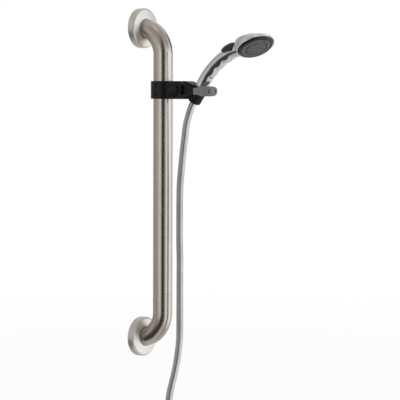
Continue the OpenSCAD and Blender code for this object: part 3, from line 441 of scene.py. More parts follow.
class Net:
    """Short way to add and join shader nodes in one tree. A socket or a constant can stand for any input."""

    def __init__(self, tree: bpy.types.NodeTree) -> None:
        """Keeps the tree that nodes are added to."""
        self.tree = tree

    @classmethod
    def emptied(cls, owner: bpy.types.Material | bpy.types.World) -> "Net":
        """Switches on the nodes of a material or world and clears them.

        Args:
            owner: the material or world.

        Returns:
            A net on its empty tree.
        """
        owner.use_nodes = True
        owner.node_tree.nodes.clear()
        return cls(owner.node_tree)

    def add(self, kind: str, inputs: dict | None = None, **values: object) -> Sequence[Socket]:
        """Adds a node, sets its properties, and then joins or sets its inputs.

        Args:
            kind: the node's type name without the word ShaderNode.
            inputs: a socket or a constant for each input, by name or number.
            values: properties of the node, by name.

        Returns:
            The node's outputs, by name or number.
        """
        node = self.tree.nodes.new(kind if kind.startswith("NodeGroup") else f"ShaderNode{kind}")
        for key, value in values.items():
            setattr(node, key, value)
        for key, value in (inputs or {}).items():
            if isinstance(value, Socket):
                self.tree.links.new(value, node.inputs[key])
            else:
                node.inputs[key].default_value = value
        return node.outputs

    def math(self, how: str, *values: object, clamp: bool = False) -> Socket:
        """One sum on the values in turn; clamp keeps the result within 0 and 1."""
        return self.add("Math", dict(enumerate(values)), operation=how, use_clamp=clamp)[0]

    def dot(self, vector: Socket, axis: Sequence[float]) -> Socket:
        """Dot product of a vector and a fixed direction."""
        return self.add("VectorMath", {0: vector, 1: axis}, operation="DOT_PRODUCT")["Value"]

    def noise(self, vector: Socket, scale: Socket, detail: float, roughness: float = 0.5) -> Socket:
        """Noise over the given coordinates."""
        inputs = {"Vector": vector, "Scale": scale, "Detail": detail, "Roughness": roughness}
        return self.add("TexNoise", inputs)[0]

    def blend(self, share: Socket, first: object, second: object) -> Socket:
        """Mix of two colours: the first where the share is 0, the second where it is 1."""
        return self.add("Mix", {"Factor": share, "A": first, "B": second}, data_type="RGBA")["Result"]

    def spread(self, value: Socket, span: Pair, onto: Pair = (0.0, 1.0), how: str = "LINEAR") -> Socket:
        """Carries a value from one span of numbers onto another, and keeps it inside that.

        Args:
            value: the input.
            span: the numbers that the input runs between.
            onto: the numbers that the result runs between.
            how: shape of the step.

        Returns:
            The result's socket.
        """
        names = ("From Min", "From Max", "To Min", "To Max")
        inputs = {"Value": value, **dict(zip(names, (*span, *onto)))}
        return self.add("MapRange", inputs, interpolation_type=how)[0]

    def ramp(self, value: Socket, stops: Sequence[tuple[float, Colour]]) -> Socket:
        """Colour ramp through stops of a place from 0 to 1 and a colour.

        Args:
            value: the input from 0 to 1.
            stops: the places and their colours.

        Returns:
            The colour's socket.
        """
        node = self.tree.nodes.new("ShaderNodeValToRGB")
        marks = node.color_ramp.elements
        while len(marks) < len(stops):
            marks.new(1.0)
        for mark, (at, colour) in zip(marks, stops):
            mark.position, mark.color = at, (*colour, 1.0)
        self.tree.links.new(value, node.inputs[0])
        return node.outputs[0]

    def use(self, group: bpy.types.NodeTree, vector: Socket, **numbers: float) -> Sequence[Socket]:
        """Places a shared group over the given coordinates, with its own numbers."""
        return self.add("Group", {"Vector": vector, **numbers}, node_tree=group)


class Group(Net):
    """A shader node group: coordinates and numbers go in, only numbers come out."""

    def __init__(self, name: str, **numbers: float) -> None:
        """Starts the group with a Vector input and an input for each number.

        Args:
            name: the group's name.
            numbers: first value of each number that goes in, by name.
        """
        super().__init__(bpy.data.node_groups.new(name, "ShaderNodeTree"))
        face = self.tree.interface
        face.new_socket(name="Vector", in_out="INPUT", socket_type="NodeSocketVector")
        for label, value in numbers.items():
            face.new_socket(name=label, in_out="INPUT", socket_type="NodeSocketFloat").default_value = value
        self.given = self.add("NodeGroupInput")

    def close(self, **results: Socket) -> bpy.types.NodeTree:
        """Gives the group its named outputs, and returns its tree.

        Args:
            results: a socket for each number that comes out, by name.

        Returns:
            The group's tree.
        """
        for label in results:
            self.tree.interface.new_socket(name=label, in_out="OUTPUT", socket_type="NodeSocketFloat")
        self.add("NodeGroupOutput", results)
        return self.tree


class Effects:
    """Node groups that several finishes share."""

    def __init__(self) -> None:
        """Builds every group once."""
        self.lines, self.grain = self._lines(), self._grain()
        self.mottle, self.film = self._mottle(), self._film()

    @staticmethod
    def _lines() -> bpy.types.NodeTree:
        """Brush lines: noise stretched along one axis, fine as a height and broad as a streak.

        Returns:
            The group's tree.
        """
        net = Group("brush_lines", Scale=4000.0, Stretch=0.03)
        x, y = net.add("SeparateXYZ", {0: net.given["Vector"]})[:2]
        squeezed = net.add("CombineXYZ", {0: x, 1: net.math("MULTIPLY", y, net.given["Stretch"])})[0]
        broad = net.math("MULTIPLY", net.given["Scale"], 0.12)
        height = net.noise(squeezed, net.given["Scale"], 3.0)
        return net.close(Height=height, Streak=net.noise(squeezed, broad, 2.0))

    @staticmethod
    def _grain() -> bpy.types.NodeTree:
        """Moulded grain: fine pits from cells and noise, as a height.

        Returns:
            The group's tree.
        """
        net = Group("moulded_grain", Scale=2500.0)
        vector, scale = net.given["Vector"], net.given["Scale"]
        cells = net.add("TexVoronoi", {"Vector": vector, "Scale": scale}, feature="SMOOTH_F1")["Distance"]
        return net.close(Height=net.math("ADD", cells, net.noise(vector, scale, 4.0)))

    @staticmethod
    def _mottle() -> bpy.types.NodeTree:
        """Slow change between 0 and 1.

        Returns:
            The group's tree.
        """
        net = Group("slow_mottle", Scale=40.0)
        noise = net.noise(net.given["Vector"], net.given["Scale"], 5.0, 0.6)
        return net.close(Value=net.spread(noise, NOISE_SPAN))

    @staticmethod
    def _film() -> bpy.types.NodeTree:
        """Thin film of dust: more on faces that look up, broken by noise.

        Returns:
            The group's tree.
        """
        net = Group("dust_film", Scale=90.0, Amount=0.1)
        height = net.add("SeparateXYZ", {0: net.add("NewGeometry")["Normal"]})[2]
        up = net.math("MULTIPLY_ADD", height, 0.5, 0.5, clamp=True)
        both = net.math("MULTIPLY", up, net.noise(net.given["Vector"], net.given["Scale"], 6.0))
        return net.close(Mask=net.math("MULTIPLY", both, net.given["Amount"], clamp=True))


# ---------------------------------------------------------------- finishes


class Slot(Enum):
    """Material slots of the record."""

    NICKEL = "satin_nickel"
    STEEL = "steel"
    NYLON = "white_nylon"
    BLACK = "black_plastic"
    BLACK_GLOSS = "black_gloss"
    GREY = "grey_plastic"
    FACE = "face_grey"
    NOZZLE = "nozzle_rubber"
    RUBBER = "black_rubber"
    CHROME = "plated_chrome"
    HOSE = "hose_chrome"
    BRASS = "brass"


class Grain(Enum):
    """What runs over a surface: fine lines round it, or fine pits."""

    BRUSHED = "brushed"
    MOULDED = "moulded"


@dataclass(frozen=True)
class Finish:
    """One finish: its colours, gloss and the grain on it.

    Attributes:
        slot: the record's slot.
        colour: main colour, linear.
        second: colour in the broad patches.
        rough: lowest and highest roughness.
        size: the grain's scale.
        depth: the grain's height in metres.
        metal: whether it is bare or plated metal.
        grain: what runs over it.
        dust: share of dust film.
        coat: weight of a clear gloss layer.
        shine: strength of the mirror light on what isn't metal.
        by_uv: whether the grain follows the surface.
        tone: a word that sets it apart from the slot's main finish.
    """

    slot: Slot
    colour: Colour
    second: Colour
    rough: Pair
    size: float
    depth: float
    metal: bool = False
    grain: Grain = Grain.MOULDED
    dust: float = 0.0
    coat: float = 0.0
    shine: float = 0.5
    by_uv: bool = False
    tone: str = ""

    def build(self, effects: Effects) -> bpy.types.Material:
        """Builds the material.

        Args:
            effects: the shared groups.

        Returns:
            The material, named after the slot, the way its grain lies and its tone.
        """
        material = bpy.data.materials.new(self.slot.value + ("_uv" if self.by_uv else "") + self.tone)
        net = Net.emptied(material)
        place = net.add("TexCoord")
        space = place["UV" if self.by_uv else "Object"]
        mottle = net.use(effects.mottle, place["Object"], Scale=MOTTLE_SIZE)[0]
        colour = net.blend(mottle, (*self.colour, 1.0), (*self.second, 1.0))
        if self.grain is Grain.BRUSHED:
            height, streak = net.use(effects.lines, space, Scale=self.size, Stretch=LINE_STRETCH)
        else:
            height, streak = net.use(effects.grain, space, Scale=self.size)[0], mottle
        if self.dust > 0:
            film = net.use(effects.film, place["Object"], Scale=DUST_SIZE, Amount=self.dust)
            colour = net.blend(film[0], colour, DUST_COLOUR)
        bump = net.add("Bump", {"Height": height, "Distance": self.depth, "Strength": 1.0})
        skin = {
            "Base Color": colour,
            "Roughness": net.spread(streak, NOISE_SPAN, self.rough),
            "Normal": bump[0],
            "Metallic": float(self.metal),
            "Specular IOR Level": self.shine,
            "Coat Weight": self.coat,
            "Coat Roughness": COAT_ROUGHNESS,
        }
        net.add("OutputMaterial", {0: net.add("BsdfPrincipled", skin)[0]})
        return material


def bare(slot: Slot, colour: Colour, second: Colour, rough: Pair, size: float, depth: float, **more: object) -> Finish:
    """A brushed metal's finish, with the same arguments as Finish."""
    return Finish(slot, colour, second, rough, size, depth, metal=True, grain=Grain.BRUSHED, **more)


@dataclass
class Finishes:
    """All finishes of the set, each built once when it is first asked for."""

    effects: Effects = field(default_factory=Effects)
    made: dict[Finish, bpy.types.Material] = field(default_factory=dict)

    nickel = bare(Slot.NICKEL, (0.62, 0.56, 0.497), (0.58, 0.525, 0.465), (0.20, 0.28), 1500, 6e-7, by_uv=True)
    spun = bare(
        Slot.NICKEL, (0.86, 0.795, 0.73), (0.79, 0.735, 0.675), (0.40, 0.52), 900, 1.5e-6, by_uv=True, tone="_spun"
    )
    steel = bare(Slot.STEEL, (0.58, 0.57, 0.56), (0.50, 0.49, 0.48), (0.25, 0.4), 2500, 1e-5)
    brass = bare(Slot.BRASS, (0.72, 0.50, 0.20), (0.62, 0.42, 0.17), (0.2, 0.32), 3000, 1e-5)
    dark_steel = Finish(
        Slot.STEEL, (0.02, 0.02, 0.02), (0.03, 0.03, 0.03), (0.35, 0.5), 3000, 5e-6, metal=True, tone="_blackened"
    )
    chrome = Finish(Slot.CHROME, (0.86, 0.87, 0.89), (0.82, 0.83, 0.85), (0.04, 0.09), 140, 4e-6, metal=True)
    hose = Finish(Slot.HOSE, (0.72, 0.71, 0.70), (0.58, 0.57, 0.563), (0.14, 0.26), 900, 6e-6, metal=True)
    black = Finish(
        Slot.BLACK, (0.0045, 0.0045, 0.005), (0.007, 0.007, 0.0075), (0.32, 0.42), 2600, 1e-5, dust=0.008, shine=0.26
    )
    black_gloss = Finish(
        Slot.BLACK_GLOSS, (0.007, 0.007, 0.008), (0.010, 0.010, 0.011), (0.14, 0.24), 600, 3e-6, coat=0.25, shine=0.35
    )
    grey = Finish(Slot.GREY, (0.135, 0.137, 0.142), (0.155, 0.157, 0.162), (0.34, 0.46), 2200, 2e-5)
    face = Finish(Slot.FACE, (0.050, 0.051, 0.055), (0.064, 0.065, 0.069), (0.26, 0.38), 2200, 1e-5, coat=0.2)
    nozzle = Finish(Slot.NOZZLE, (0.19, 0.195, 0.20), (0.24, 0.245, 0.25), (0.45, 0.6), 4000, 1e-5)
    rubber = Finish(Slot.RUBBER, (0.02, 0.02, 0.02), (0.03, 0.03, 0.03), (0.6, 0.75), 3000, 2e-5)
    nylon = Finish(Slot.NYLON, (0.78, 0.77, 0.73), (0.72, 0.71, 0.67), (0.4, 0.5), 1800, 1e-5)

    def dress(self, piece: bpy.types.Object, finish: Finish) -> None:
        """Puts a finish on a piece, in every slot that it has.

        Args:
            piece: the object.
            finish: its finish.
        """
        if finish not in self.made:
            self.made[finish] = finish.build(self.effects)
        slots = piece.data.materials
        if not slots:
            slots.append(self.made[finish])
        for k in range(len(slots)):
            slots[k] = self.made[finish]


@dataclass
class SubAssembly:
    """Base of the sub-assemblies: hands out finishes and ties pieces to their moving bodies."""

    finishes: Finishes
    body: str
    made: list[bpy.types.Object] = field(default_factory=list)

    def seat(self, piece: bpy.types.Object, finish: Finish, nodes: Sequence[str], body: str = "") -> bpy.types.Object:
        """Dresses a new piece and lets it ride.

        Args:
            piece: the finished object.
            finish: its finish.
            nodes: solids of the frame that it stands for.
            body: the moving body, if not the sub-assembly's own.

        Returns:
            The same object.
        """
        self.finishes.dress(piece, finish)
        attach(piece, body or self.body)
        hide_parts(*nodes)
        self.made.append(piece)
        LOG.info("%s: %d faces, rides on %s", piece.name, len(piece.data.polygons), body or self.body)
        return piece

    def keep(self, finish: Finish, *nodes: str) -> None:
        """Gives solids of the frame their finish.

        Args:
            finish: their finish.
            nodes: the solids' names.
        """
        for node in nodes:
            self.finishes.dress(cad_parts[node], finish)
            LOG.info("%s: kept from the frame", node)

    def soften(self, node: str, name: str, finish: Finish, width: float, body: str = "") -> bpy.types.Object:
        """Copies a solid of the frame and rounds its edges.

        Args:
            node: the solid.
            name: the new piece's name.
            finish: its finish.
            width: width of the rounding in millimetres.
            body: the moving body, if not the sub-assembly's own.

        Returns:
            The new piece, which replaces the solid.
        """
        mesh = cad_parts[node].data.copy()
        mesh.name = name
        shape = bmesh.new()
        shape.from_mesh(mesh)
        bmesh.ops.remove_doubles(shape, verts=shape.verts, dist=SAME_PLACE)
        bmesh.ops.dissolve_limit(shape, angle_limit=math.radians(FLAT_ANGLE), verts=shape.verts, edges=shape.edges)
        bmesh.ops.dissolve_degenerate(shape, dist=SAME_PLACE, edges=shape.edges)
        shape.to_mesh(mesh)
        shape.free()
        mesh.shade_smooth()
        mesh.set_sharp_from_angle(angle=math.radians(EDGE_ANGLE))
        piece = placed(name, mesh)
        bevel = piece.modifiers.new("rounding", "BEVEL")
        bevel.width, bevel.segments = width * MM, 3
        bevel.limit_method, bevel.angle_limit = "ANGLE", math.radians(EDGE_ANGLE)
        bevel.harden_normals, bevel.use_clamp_overlap, bevel.miter_outer = True, True, "MITER_ARC"
        return self.seat(piece, finish, [node], body)


# ---------------------------------------------------------------- studio


@dataclass(frozen=True)
class Card:
    """A soft round patch of the surroundings that only mirrors see.

    Attributes:
        turn: turn of its middle from the camera's side, in degrees.
        rise: rise of its middle above the horizon.
        reach: its radius.
        edge: half the width of its soft edge.
        shade: how bright it is.
    """

    turn: float
    rise: float
    reach: float
    edge: float
    shade: float


@dataclass
class Studio:
    """Camera, lamps, pale floor and the surroundings that the metal mirrors."""

    target: tuple[float, float, float] = (0.04218, -0.11636, -0.33504)
    azimuth: float = -52.768
    elevation: float = 4.268
    distance: float = 3.0
    roll: float = 0.236
    lens: float = 137.97
    floor_middle: tuple[float, float, float] = (0.0, -0.12, -0.7966)
    floor_clear: float = 0.7
    floor_reach: float = 2.4
    floor_glow: float = 0.88
    fill: float = 0.62

    def axes(self) -> tuple[Array, Array, Array]:
        """The camera's right, up and back directions, with its roll.

        Returns:
            Three unit vectors.
        """
        a, e, r = (math.radians(v) for v in (self.azimuth, self.elevation, self.roll))
        back = np.array([math.sin(a) * math.cos(e), -math.cos(a) * math.cos(e), math.sin(e)])
        right = np.array([math.cos(a), math.sin(a), 0.0])
        up = np.cross(back, right)
        return math.cos(r) * right + math.sin(r) * up, math.cos(r) * up - math.sin(r) * right, back

    def camera(self) -> None:
        """Makes the camera: it looks at the target from the distance along the back direction."""
        right, up, back = self.axes()
        data = bpy.data.cameras.new("camera")
        data.sensor_width, data.lens = 36.0, self.lens
        data.clip_start, data.clip_end = 0.05, 60.0
        cam = placed("camera", data)
        matrix = np.eye(4)
        matrix[:3] = np.stack([right, up, back, np.array(self.target) + self.distance * back], 1)
        cam.matrix_world = Matrix(matrix.tolist())
        bpy.context.scene.camera = cam
        bpy.context.scene.view_settings.view_transform = "Standard"

    def lamp(self, name: str, place: Array, size: float, watts: float, colour: Colour) -> None:
        """Adds a square soft lamp that looks at the target.

        Args:
            name: the lamp's name.
            place: where it stands, in metres.
            size: its side.
            watts: its power.
            colour: its colour.
        """
        data = bpy.data.lights.new(name, "AREA")
        data.size, data.energy, data.color = size, watts, colour
        lamp = placed(name, data)
        lamp.location = place
        way = Vector(self.target) - lamp.location
        lamp.rotation_euler = way.to_track_quat("-Z", "Y").to_euler()
        lamp.visible_glossy = False

    def lamps(self) -> None:
        """A large soft key from above on the left, and a weaker one on the right."""
        right, up, back = self.axes()
        centre = np.array(self.target)
        self.lamp("key", centre + 1.6 * back - 1.5 * right + 1.9 * up, 2.4, 26.0, (1.0, 0.98, 0.95))
        self.lamp("side", centre + 0.9 * back + 2.2 * right + 0.6 * up, 1.4, 14.0, (1.0, 1.0, 1.0))

    def world(self) -> None:
        """Surroundings: white to the eye, even light on matt surfaces, panels, cards and dark gaps for metal.

        The panels are a colour ramp over the turn about Z away from the camera's side. The cards lie over it.
        """
        world = bpy.data.worlds.new("surroundings")
        bpy.context.scene.world = world
        net = Net.emptied(world)
        way = net.add("TexCoord")["Generated"]
        right, front = (net.dot(way, self.towards(turn, 0)) for turn in (90, 0))
        turns = net.math("MULTIPLY", net.math("ARCTAN2", right, front), 1 / (2 * math.pi))
        mirror = net.ramp(net.math("ADD", turns, 0.5), self.panels())
        for card in self.cards():
            span = tuple(math.cos(math.radians(card.reach + edge)) for edge in (card.edge, -card.edge))
            level = net.spread(net.dot(way, self.towards(card.turn, card.rise)), span, how="SMOOTHSTEP")
            mirror = net.blend(level, mirror, (card.shade, card.shade, card.shade, 1))
        path = net.add("LightPath")
        plain = net.blend(path["Is Glossy Ray"], (self.fill, self.fill, self.fill, 1), mirror)
        clear = net.math("ADD", path["Is Camera Ray"], path["Is Transmission Ray"], clamp=True)
        glow = net.add("Background", {"Color": net.blend(clear, plain, (1, 1, 1, 1))})
        net.add("OutputWorld", {0: glow[0]})

    def towards(self, turn: float, rise: float) -> tuple[float, float, float]:
        """Direction by its turn from the camera's side and its rise above the horizon, in degrees.

        Args:
            turn: positive to the right.
            rise: positive upwards.

        Returns:
            A unit vector.
        """
        a, t, r = (math.radians(v) for v in (self.azimuth, turn, rise))
        side, front = math.sin(t) * math.cos(r), math.cos(t) * math.cos(r)
        return side * math.cos(a) + front * math.sin(a), side * math.sin(a) - front * math.cos(a), math.sin(r)

    @staticmethod
    def cards() -> list[Card]:
        """Sky, floor and the dark cards, from the first laid to the last.

        Returns:
            The cards.
        """
        return [
            Card(0, 90, 30, 20, 0.56),
            Card(0, 72, 8, 6, 1.0),
            Card(-35, 40, 24, 12, 0.40),
            Card(65, 46, 30, 14, 0.46),
            Card(-60, -90, 36, 14, 0.42),
            Card(60, -75, 38, 16, 0.62),
            Card(150, -40, 24, 12, 0.62),
            Card(130, 20, 16, 8, 0.14),
            Card(-24, -33, 18, 7, 0.035),
            Card(-50, -40, 23, 8, 0.04),
            Card(-76, -31, 19, 8, 0.05),
        ]

    @staticmethod
    def panels() -> list[tuple[float, Colour]]:
        """Stops of the ring by degrees from the camera's own side, positive to the right, as shares of the turn.

        Returns:
            The stops with their colours.
        """
        stops = [
            (-180, (0.80, 0.79, 0.78)),
            (-160, (0.50, 0.49, 0.48)),
            (-120, (0.355, 0.345, 0.34)),
            (-97, (0.475, 0.465, 0.455)),
            (-66, (0.575, 0.56, 0.55)),
            (-50, (0.65, 0.63, 0.61)),
            (-40, (1.03, 1.00, 0.96)),
            (-26, (1.03, 1.00, 0.96)),
            (-13, (0.03, 0.03, 0.03)),
            (14, (0.02, 0.02, 0.02)),
            (32, (0.76, 0.80, 0.84)),
            (58, (1.38, 1.47, 1.55)),
            (90, (1.38, 1.47, 1.55)),
            (126, (0.80, 0.82, 0.84)),
            (180, (0.80, 0.79, 0.78)),
        ]
        return [(0.5 + at / 360, colour) for at, colour in stops]

    def floor(self) -> None:
        """A round pale floor that keeps the shadow and fades out into the white surroundings."""
        r = np.linspace(0, self.floor_reach, 9)[:, None, None]
        a = np.linspace(0, 2 * math.pi, 96, endpoint=False)[None, :, None]
        flat = np.concatenate([r * np.cos(a), r * np.sin(a), 0 * r * a], 2) + np.array(self.floor_middle)
        floor = make_piece("floor", [Surface(flat[::-1], r[:, 0, 0], np.linspace(0, 1, 97))], outwards=False)
        material = bpy.data.materials.new("pale_floor")
        net = Net.emptied(material)
        pale = {"Base Color": (0.98, 0.98, 0.98, 1), "Roughness": 0.9, "Specular IOR Level": 0.1}
        skin, glow = net.add("BsdfPrincipled", pale)[0], net.add("Emission")[0]
        path = net.add("LightPath")
        seen = net.math("ADD", path["Is Camera Ray"], path["Is Glossy Ray"], clamp=True)
        lit = net.add("MixShader", {0: net.math("MULTIPLY", seen, self.floor_glow), 1: skin, 2: glow})[0]
        spot = {0: net.add("TexCoord")["Object"], 1: self.floor_middle}
        away = net.add("VectorMath", spot, operation="DISTANCE")["Value"]
        fade = net.spread(away, (self.floor_clear, self.floor_reach), how="SMOOTHSTEP")
        edge = net.add("MixShader", {0: fade, 1: lit, 2: net.add("BsdfTransparent")[0]})
        net.add("OutputMaterial", {0: edge[0]})
        floor.data.materials.append(material)
        floor.visible_glossy = False

    def build(self) -> None:
        """Sets up the whole studio."""
        self.camera()
        self.world()
        self.lamps()
        self.floor()


# ---------------------------------------------------------------- hose


@dataclass
class ShowerHose(SubAssembly):
    """The spiral hose with its fittings, from the cup to the nut at the wall end."""

    thickness: float = 14.0
    sides: int = 22
    pitch: float = 3.9
    pitch_steps: int = 7
    groove: float = 1.2
    groove_round: float = 0.55
    coil_middle: tuple[float, float] = (66.0, -133.0)
    coil_radius: float = 77.0
    coil_high: float = -775.0
    coil_drop: float = 14.4
    tail: float = 82.0
    crimp: float = 12.0
    nut_flats: float = 25.0
    coil_turns: float = 1.5
    drop_end: Pair = (0.62, 0.68)
    route: tuple[tuple[float, float, float], ...] = (
        (0, -133, -143), (0, -125, -157), (0, -120, -170), (0, -115, -186), (0, -112, -204),
        (0, -109, -224), (0, -106, -246), (0, -103, -272), (0, -100, -302), (0, -99, -335),
        (0, -99, -370), (0, -99, -410), (0, -100, -450), (0, -100, -490), (0, -100, -530),
        (0, -100, -565), (0, -100, -590), (0, -99, -612), (0, -96, -634), (0, -92, -656),
        (0, -87, -676), (0, -81, -697), (1, -75, -716), (6, -69, -734), (17, -63, -751),
        (32, -59, -765), (50, -57, -773), (66, -56, -775),
    )
    top: float = -24.6
    cup_foot: float = -38.3

    def drop(self) -> Array:
        """The hanging run from inside the ferrule to where the coil starts, in metres.

        Returns:
            Points, (n, 3).
        """
        seat = LAYOUT.seat()
        head = seat.put(np.array([[0, 0, self.top], [0, 0, (self.top + self.cup_foot) / 2]]) * MM)
        return curve_through(np.concatenate([head, np.array(self.route, float) * MM]), 24)

    def coil(self) -> Array:
        """One and a half turns, clockwise from above: the height falls by one drop between half a turn and a turn.

        Returns:
            Points, (n, 3), in metres.
        """
        w = np.linspace(0, self.coil_turns, 400)
        angle = math.pi / 2 - 2 * math.pi * w
        x = self.coil_middle[0] + self.coil_radius * np.cos(angle)
        y = self.coil_middle[1] + self.coil_radius * np.sin(angle)
        z = self.coil_high - self.coil_drop * soft_step(0.5, 1.0, w)
        return np.stack([x, y, z], 1) * MM

    def end_height(self) -> float:
        """Height of the hose's end, so that the nut's corners rest on the coil's floor, in millimetres."""
        return self.coil_high - self.coil_drop - self.thickness / 2 + self.nut_flats / 2 / math.cos(math.pi / 6)

    def last(self) -> Array:
        """The tail: heads -X, rises along a half cosine and ends straight.

        Returns:
            Points, (n, 3), in metres.
        """
        w = np.linspace(0, 1, 60)
        bend = self.tail - self.crimp - 1
        low = self.coil_high - self.coil_drop
        x = self.coil_middle[0] - bend * w
        z = low + (self.end_height() - low) * (1 - np.cos(math.pi * w)) / 2
        y = np.full_like(x, self.coil_middle[1] - self.coil_radius)
        end = np.array([[self.coil_middle[0] - self.tail, y[0], self.end_height()]])
        return np.concatenate([np.stack([x, y, z], 1), end]) * MM

    def centreline(self) -> Array:
        """The whole run at equal steps."""
        whole = np.concatenate([self.drop()[:-1], self.coil()[:-1], self.last()])
        return evenly(whole, self.pitch * MM / self.pitch_steps)

    def ridged(self, path: Array) -> Surface:
        """Tube with a helical groove: r = R - g (1 - |sin(pi w)|^p), w = length over pitch + the angle in turns.

        The side vector turns from Y to Z where the hose swings from hanging to lying.

        Args:
            path: the centre line at equal steps, (n, 3), in metres.

        Returns:
            The grid, open at both ends.
        """
        length = steps_length(path)
        turn = soft_step(*self.drop_end, length)[:, None] * math.pi / 2
        side = np.cos(turn) * np.array([0.0, 1.0, 0.0]) + np.sin(turn) * np.array([0.0, 0.0, 1.0])
        w = length[:, None] / (self.pitch * MM) + np.arange(self.sides)[None, :] / self.sides
        radius = self.thickness / 2 - self.groove * (1 - np.abs(np.sin(math.pi * w)) ** self.groove_round)
        return swept(path, side, radius * MM, self.sides)

    def build(self) -> None:
        """Makes the hose and dresses its fittings."""
        path = self.centreline()
        tube = self.ridged(path)
        ends = [lid(tube.points[k], path[k]) for k in (0, -1)]
        hose = make_piece("spiral_hose", [tube, *ends], sharp=70)
        self.seat(hose, Finishes.hose, ["hose", "hose_coil", "hose_tail"])
        fittings = [
            self.soften("hose_ferrule", "hose_crimp", Finishes.chrome, 0.4),
            self.soften("end_ferrule", "wall_end_crimp", Finishes.chrome, 0.5),
            self.soften("end_nut", "wall_end_nut", Finishes.chrome, 0.6, body="nut"),
        ]
        self.keep(Finishes.brass, "hose_nipple", "end_nipple")
        self.keep(Finishes.rubber, "end_washer")


# ---------------------------------------------------------------- wall bar


@dataclass
class WallBar(SubAssembly):
    """The grab bar between its two covered wall flanges."""

    tube: float = 38.1
    wall: float = 1.5
    stub: float = 4.5
    cover: float = 78.0
    rim: float = 11.5
    high: float = 16.0
    sheet: float = 1.2
    shoulder: float = 0.55
    hole_air: float = 0.35
    lean_air: float = 0.15

    @property
    def bend(self) -> float:
        """Radius of the bends on the tube's axis."""
        return LAYOUT.bar_out - self.stub

    def axis(self) -> Array:
        """Centre line in metres: out of the wall, a quarter circle, the straight run, a quarter circle back.

        Returns:
            Points, (n, 3).
        """
        w = np.linspace(0, math.pi / 2, 60)
        upper = np.stack([0 * w, -self.stub - self.bend * np.sin(w), -self.bend * (1 - np.cos(w))], 1)
        lower = upper[::-1] * np.array([1, 1, -1]) - np.array([0, 0, LAYOUT.bar_span])
        run = np.linspace(upper[-1], lower[0], 60)[1:-1]
        start, end = np.zeros((1, 3)), np.array([[0, 0, -LAYOUT.bar_span]])
        return np.concatenate([start, upper, run, lower, end]) * MM

    def tube_piece(self) -> None:
        """Sweeps the tube's outside and inside along the axis and joins them at the ends."""
        path = self.axis()
        side = np.array([1.0, 0, 0])
        sizes = [np.full((len(path), 1), r * MM) for r in (self.tube / 2, self.tube / 2 - self.wall)]
        outer, inner = (swept(path, side, r, 96) for r in sizes)
        inner.points = inner.points[::-1]
        ends = [bridge(outer.points[k], inner.points[-1 - k], outer) for k in (0, -1)]
        ends[0].points = ends[0].points[::-1]
        self.seat(make_piece("grab_bar_tube", [outer, inner, *ends]), Finishes.nickel, ["grab_bar"])

    def hole(self) -> float:
        """Radius of the cover's hole, which clears the leaning tube above and below.

        Returns:
            The radius in millimetres.
        """
        deep = self.high - self.stub
        below = self.bend - math.sqrt((self.bend - self.tube / 2) ** 2 - deep**2)
        return below - self.lean() + self.hole_air

    def lean(self) -> float:
        """How far the bent tube's axis has sunk at the cover's hole, with a little air."""
        deep = self.high - self.stub
        return self.bend - math.sqrt(self.bend**2 - deep**2) + self.lean_air

    def outline(self, r: float, rim: float, top: float, edge: float) -> Array:
        """Half section of the cover's outer or inner skin: wall, round edge, sloping shoulder and flat top.

        Args:
            r: radius of the wall, in millimetres.
            rim: height of the edge.
            top: height of the top.
            edge: radius of the edge.

        Returns:
            Points of radius and height.
        """
        hole, slope = self.hole(), rim + self.shoulder * (top - rim)
        return rounded([(r, 0, 0), (r, rim, edge), (r - 3, slope, 2), (hole + 4, top - 0.3, 3), (hole, top, 0)], 8)

    def cover_piece(self, name: str, node: str, lower: bool) -> None:
        """Turns one spun cover and puts it on its flange.

        Args:
            name: the piece's name.
            node: the solid that it stands for.
            lower: whether it is the lower one.
        """
        outer = self.outline(self.cover / 2, self.rim, self.high, 1.5)
        inner = self.outline(self.cover / 2 - self.sheet, self.rim - self.sheet / 2, self.high - self.sheet, 1.0)
        section = np.concatenate([outer, inner[::-1]])
        grid = revolved(section, Place(np.eye(3), np.zeros(3)), 160)
        reach = np.hypot(grid.points[..., 0], grid.points[..., 1]) / MM
        share = 1 - soft_step(self.hole(), self.cover / 2 - 6, reach)
        grid.points[..., 1] += (1 if lower else -1) * self.lean() * MM * share
        place = LAYOUT.lower_wall() if lower else LAYOUT.wall()
        grid.points = place.put(grid.points)
        self.seat(make_piece(name, [grid], sharp=50), Finishes.spun, [node])

    def build(self) -> None:
        """Makes the bar and covers, and dresses the plates."""
        self.tube_piece()
        self.cover_piece("upper_flange_cover", "upper_cover", False)
        self.cover_piece("lower_flange_cover", "lower_cover", True)
        self.keep(Finishes.steel, "upper_wall_plate", "lower_wall_plate")


# ---------------------------------------------------------------- holder and lever


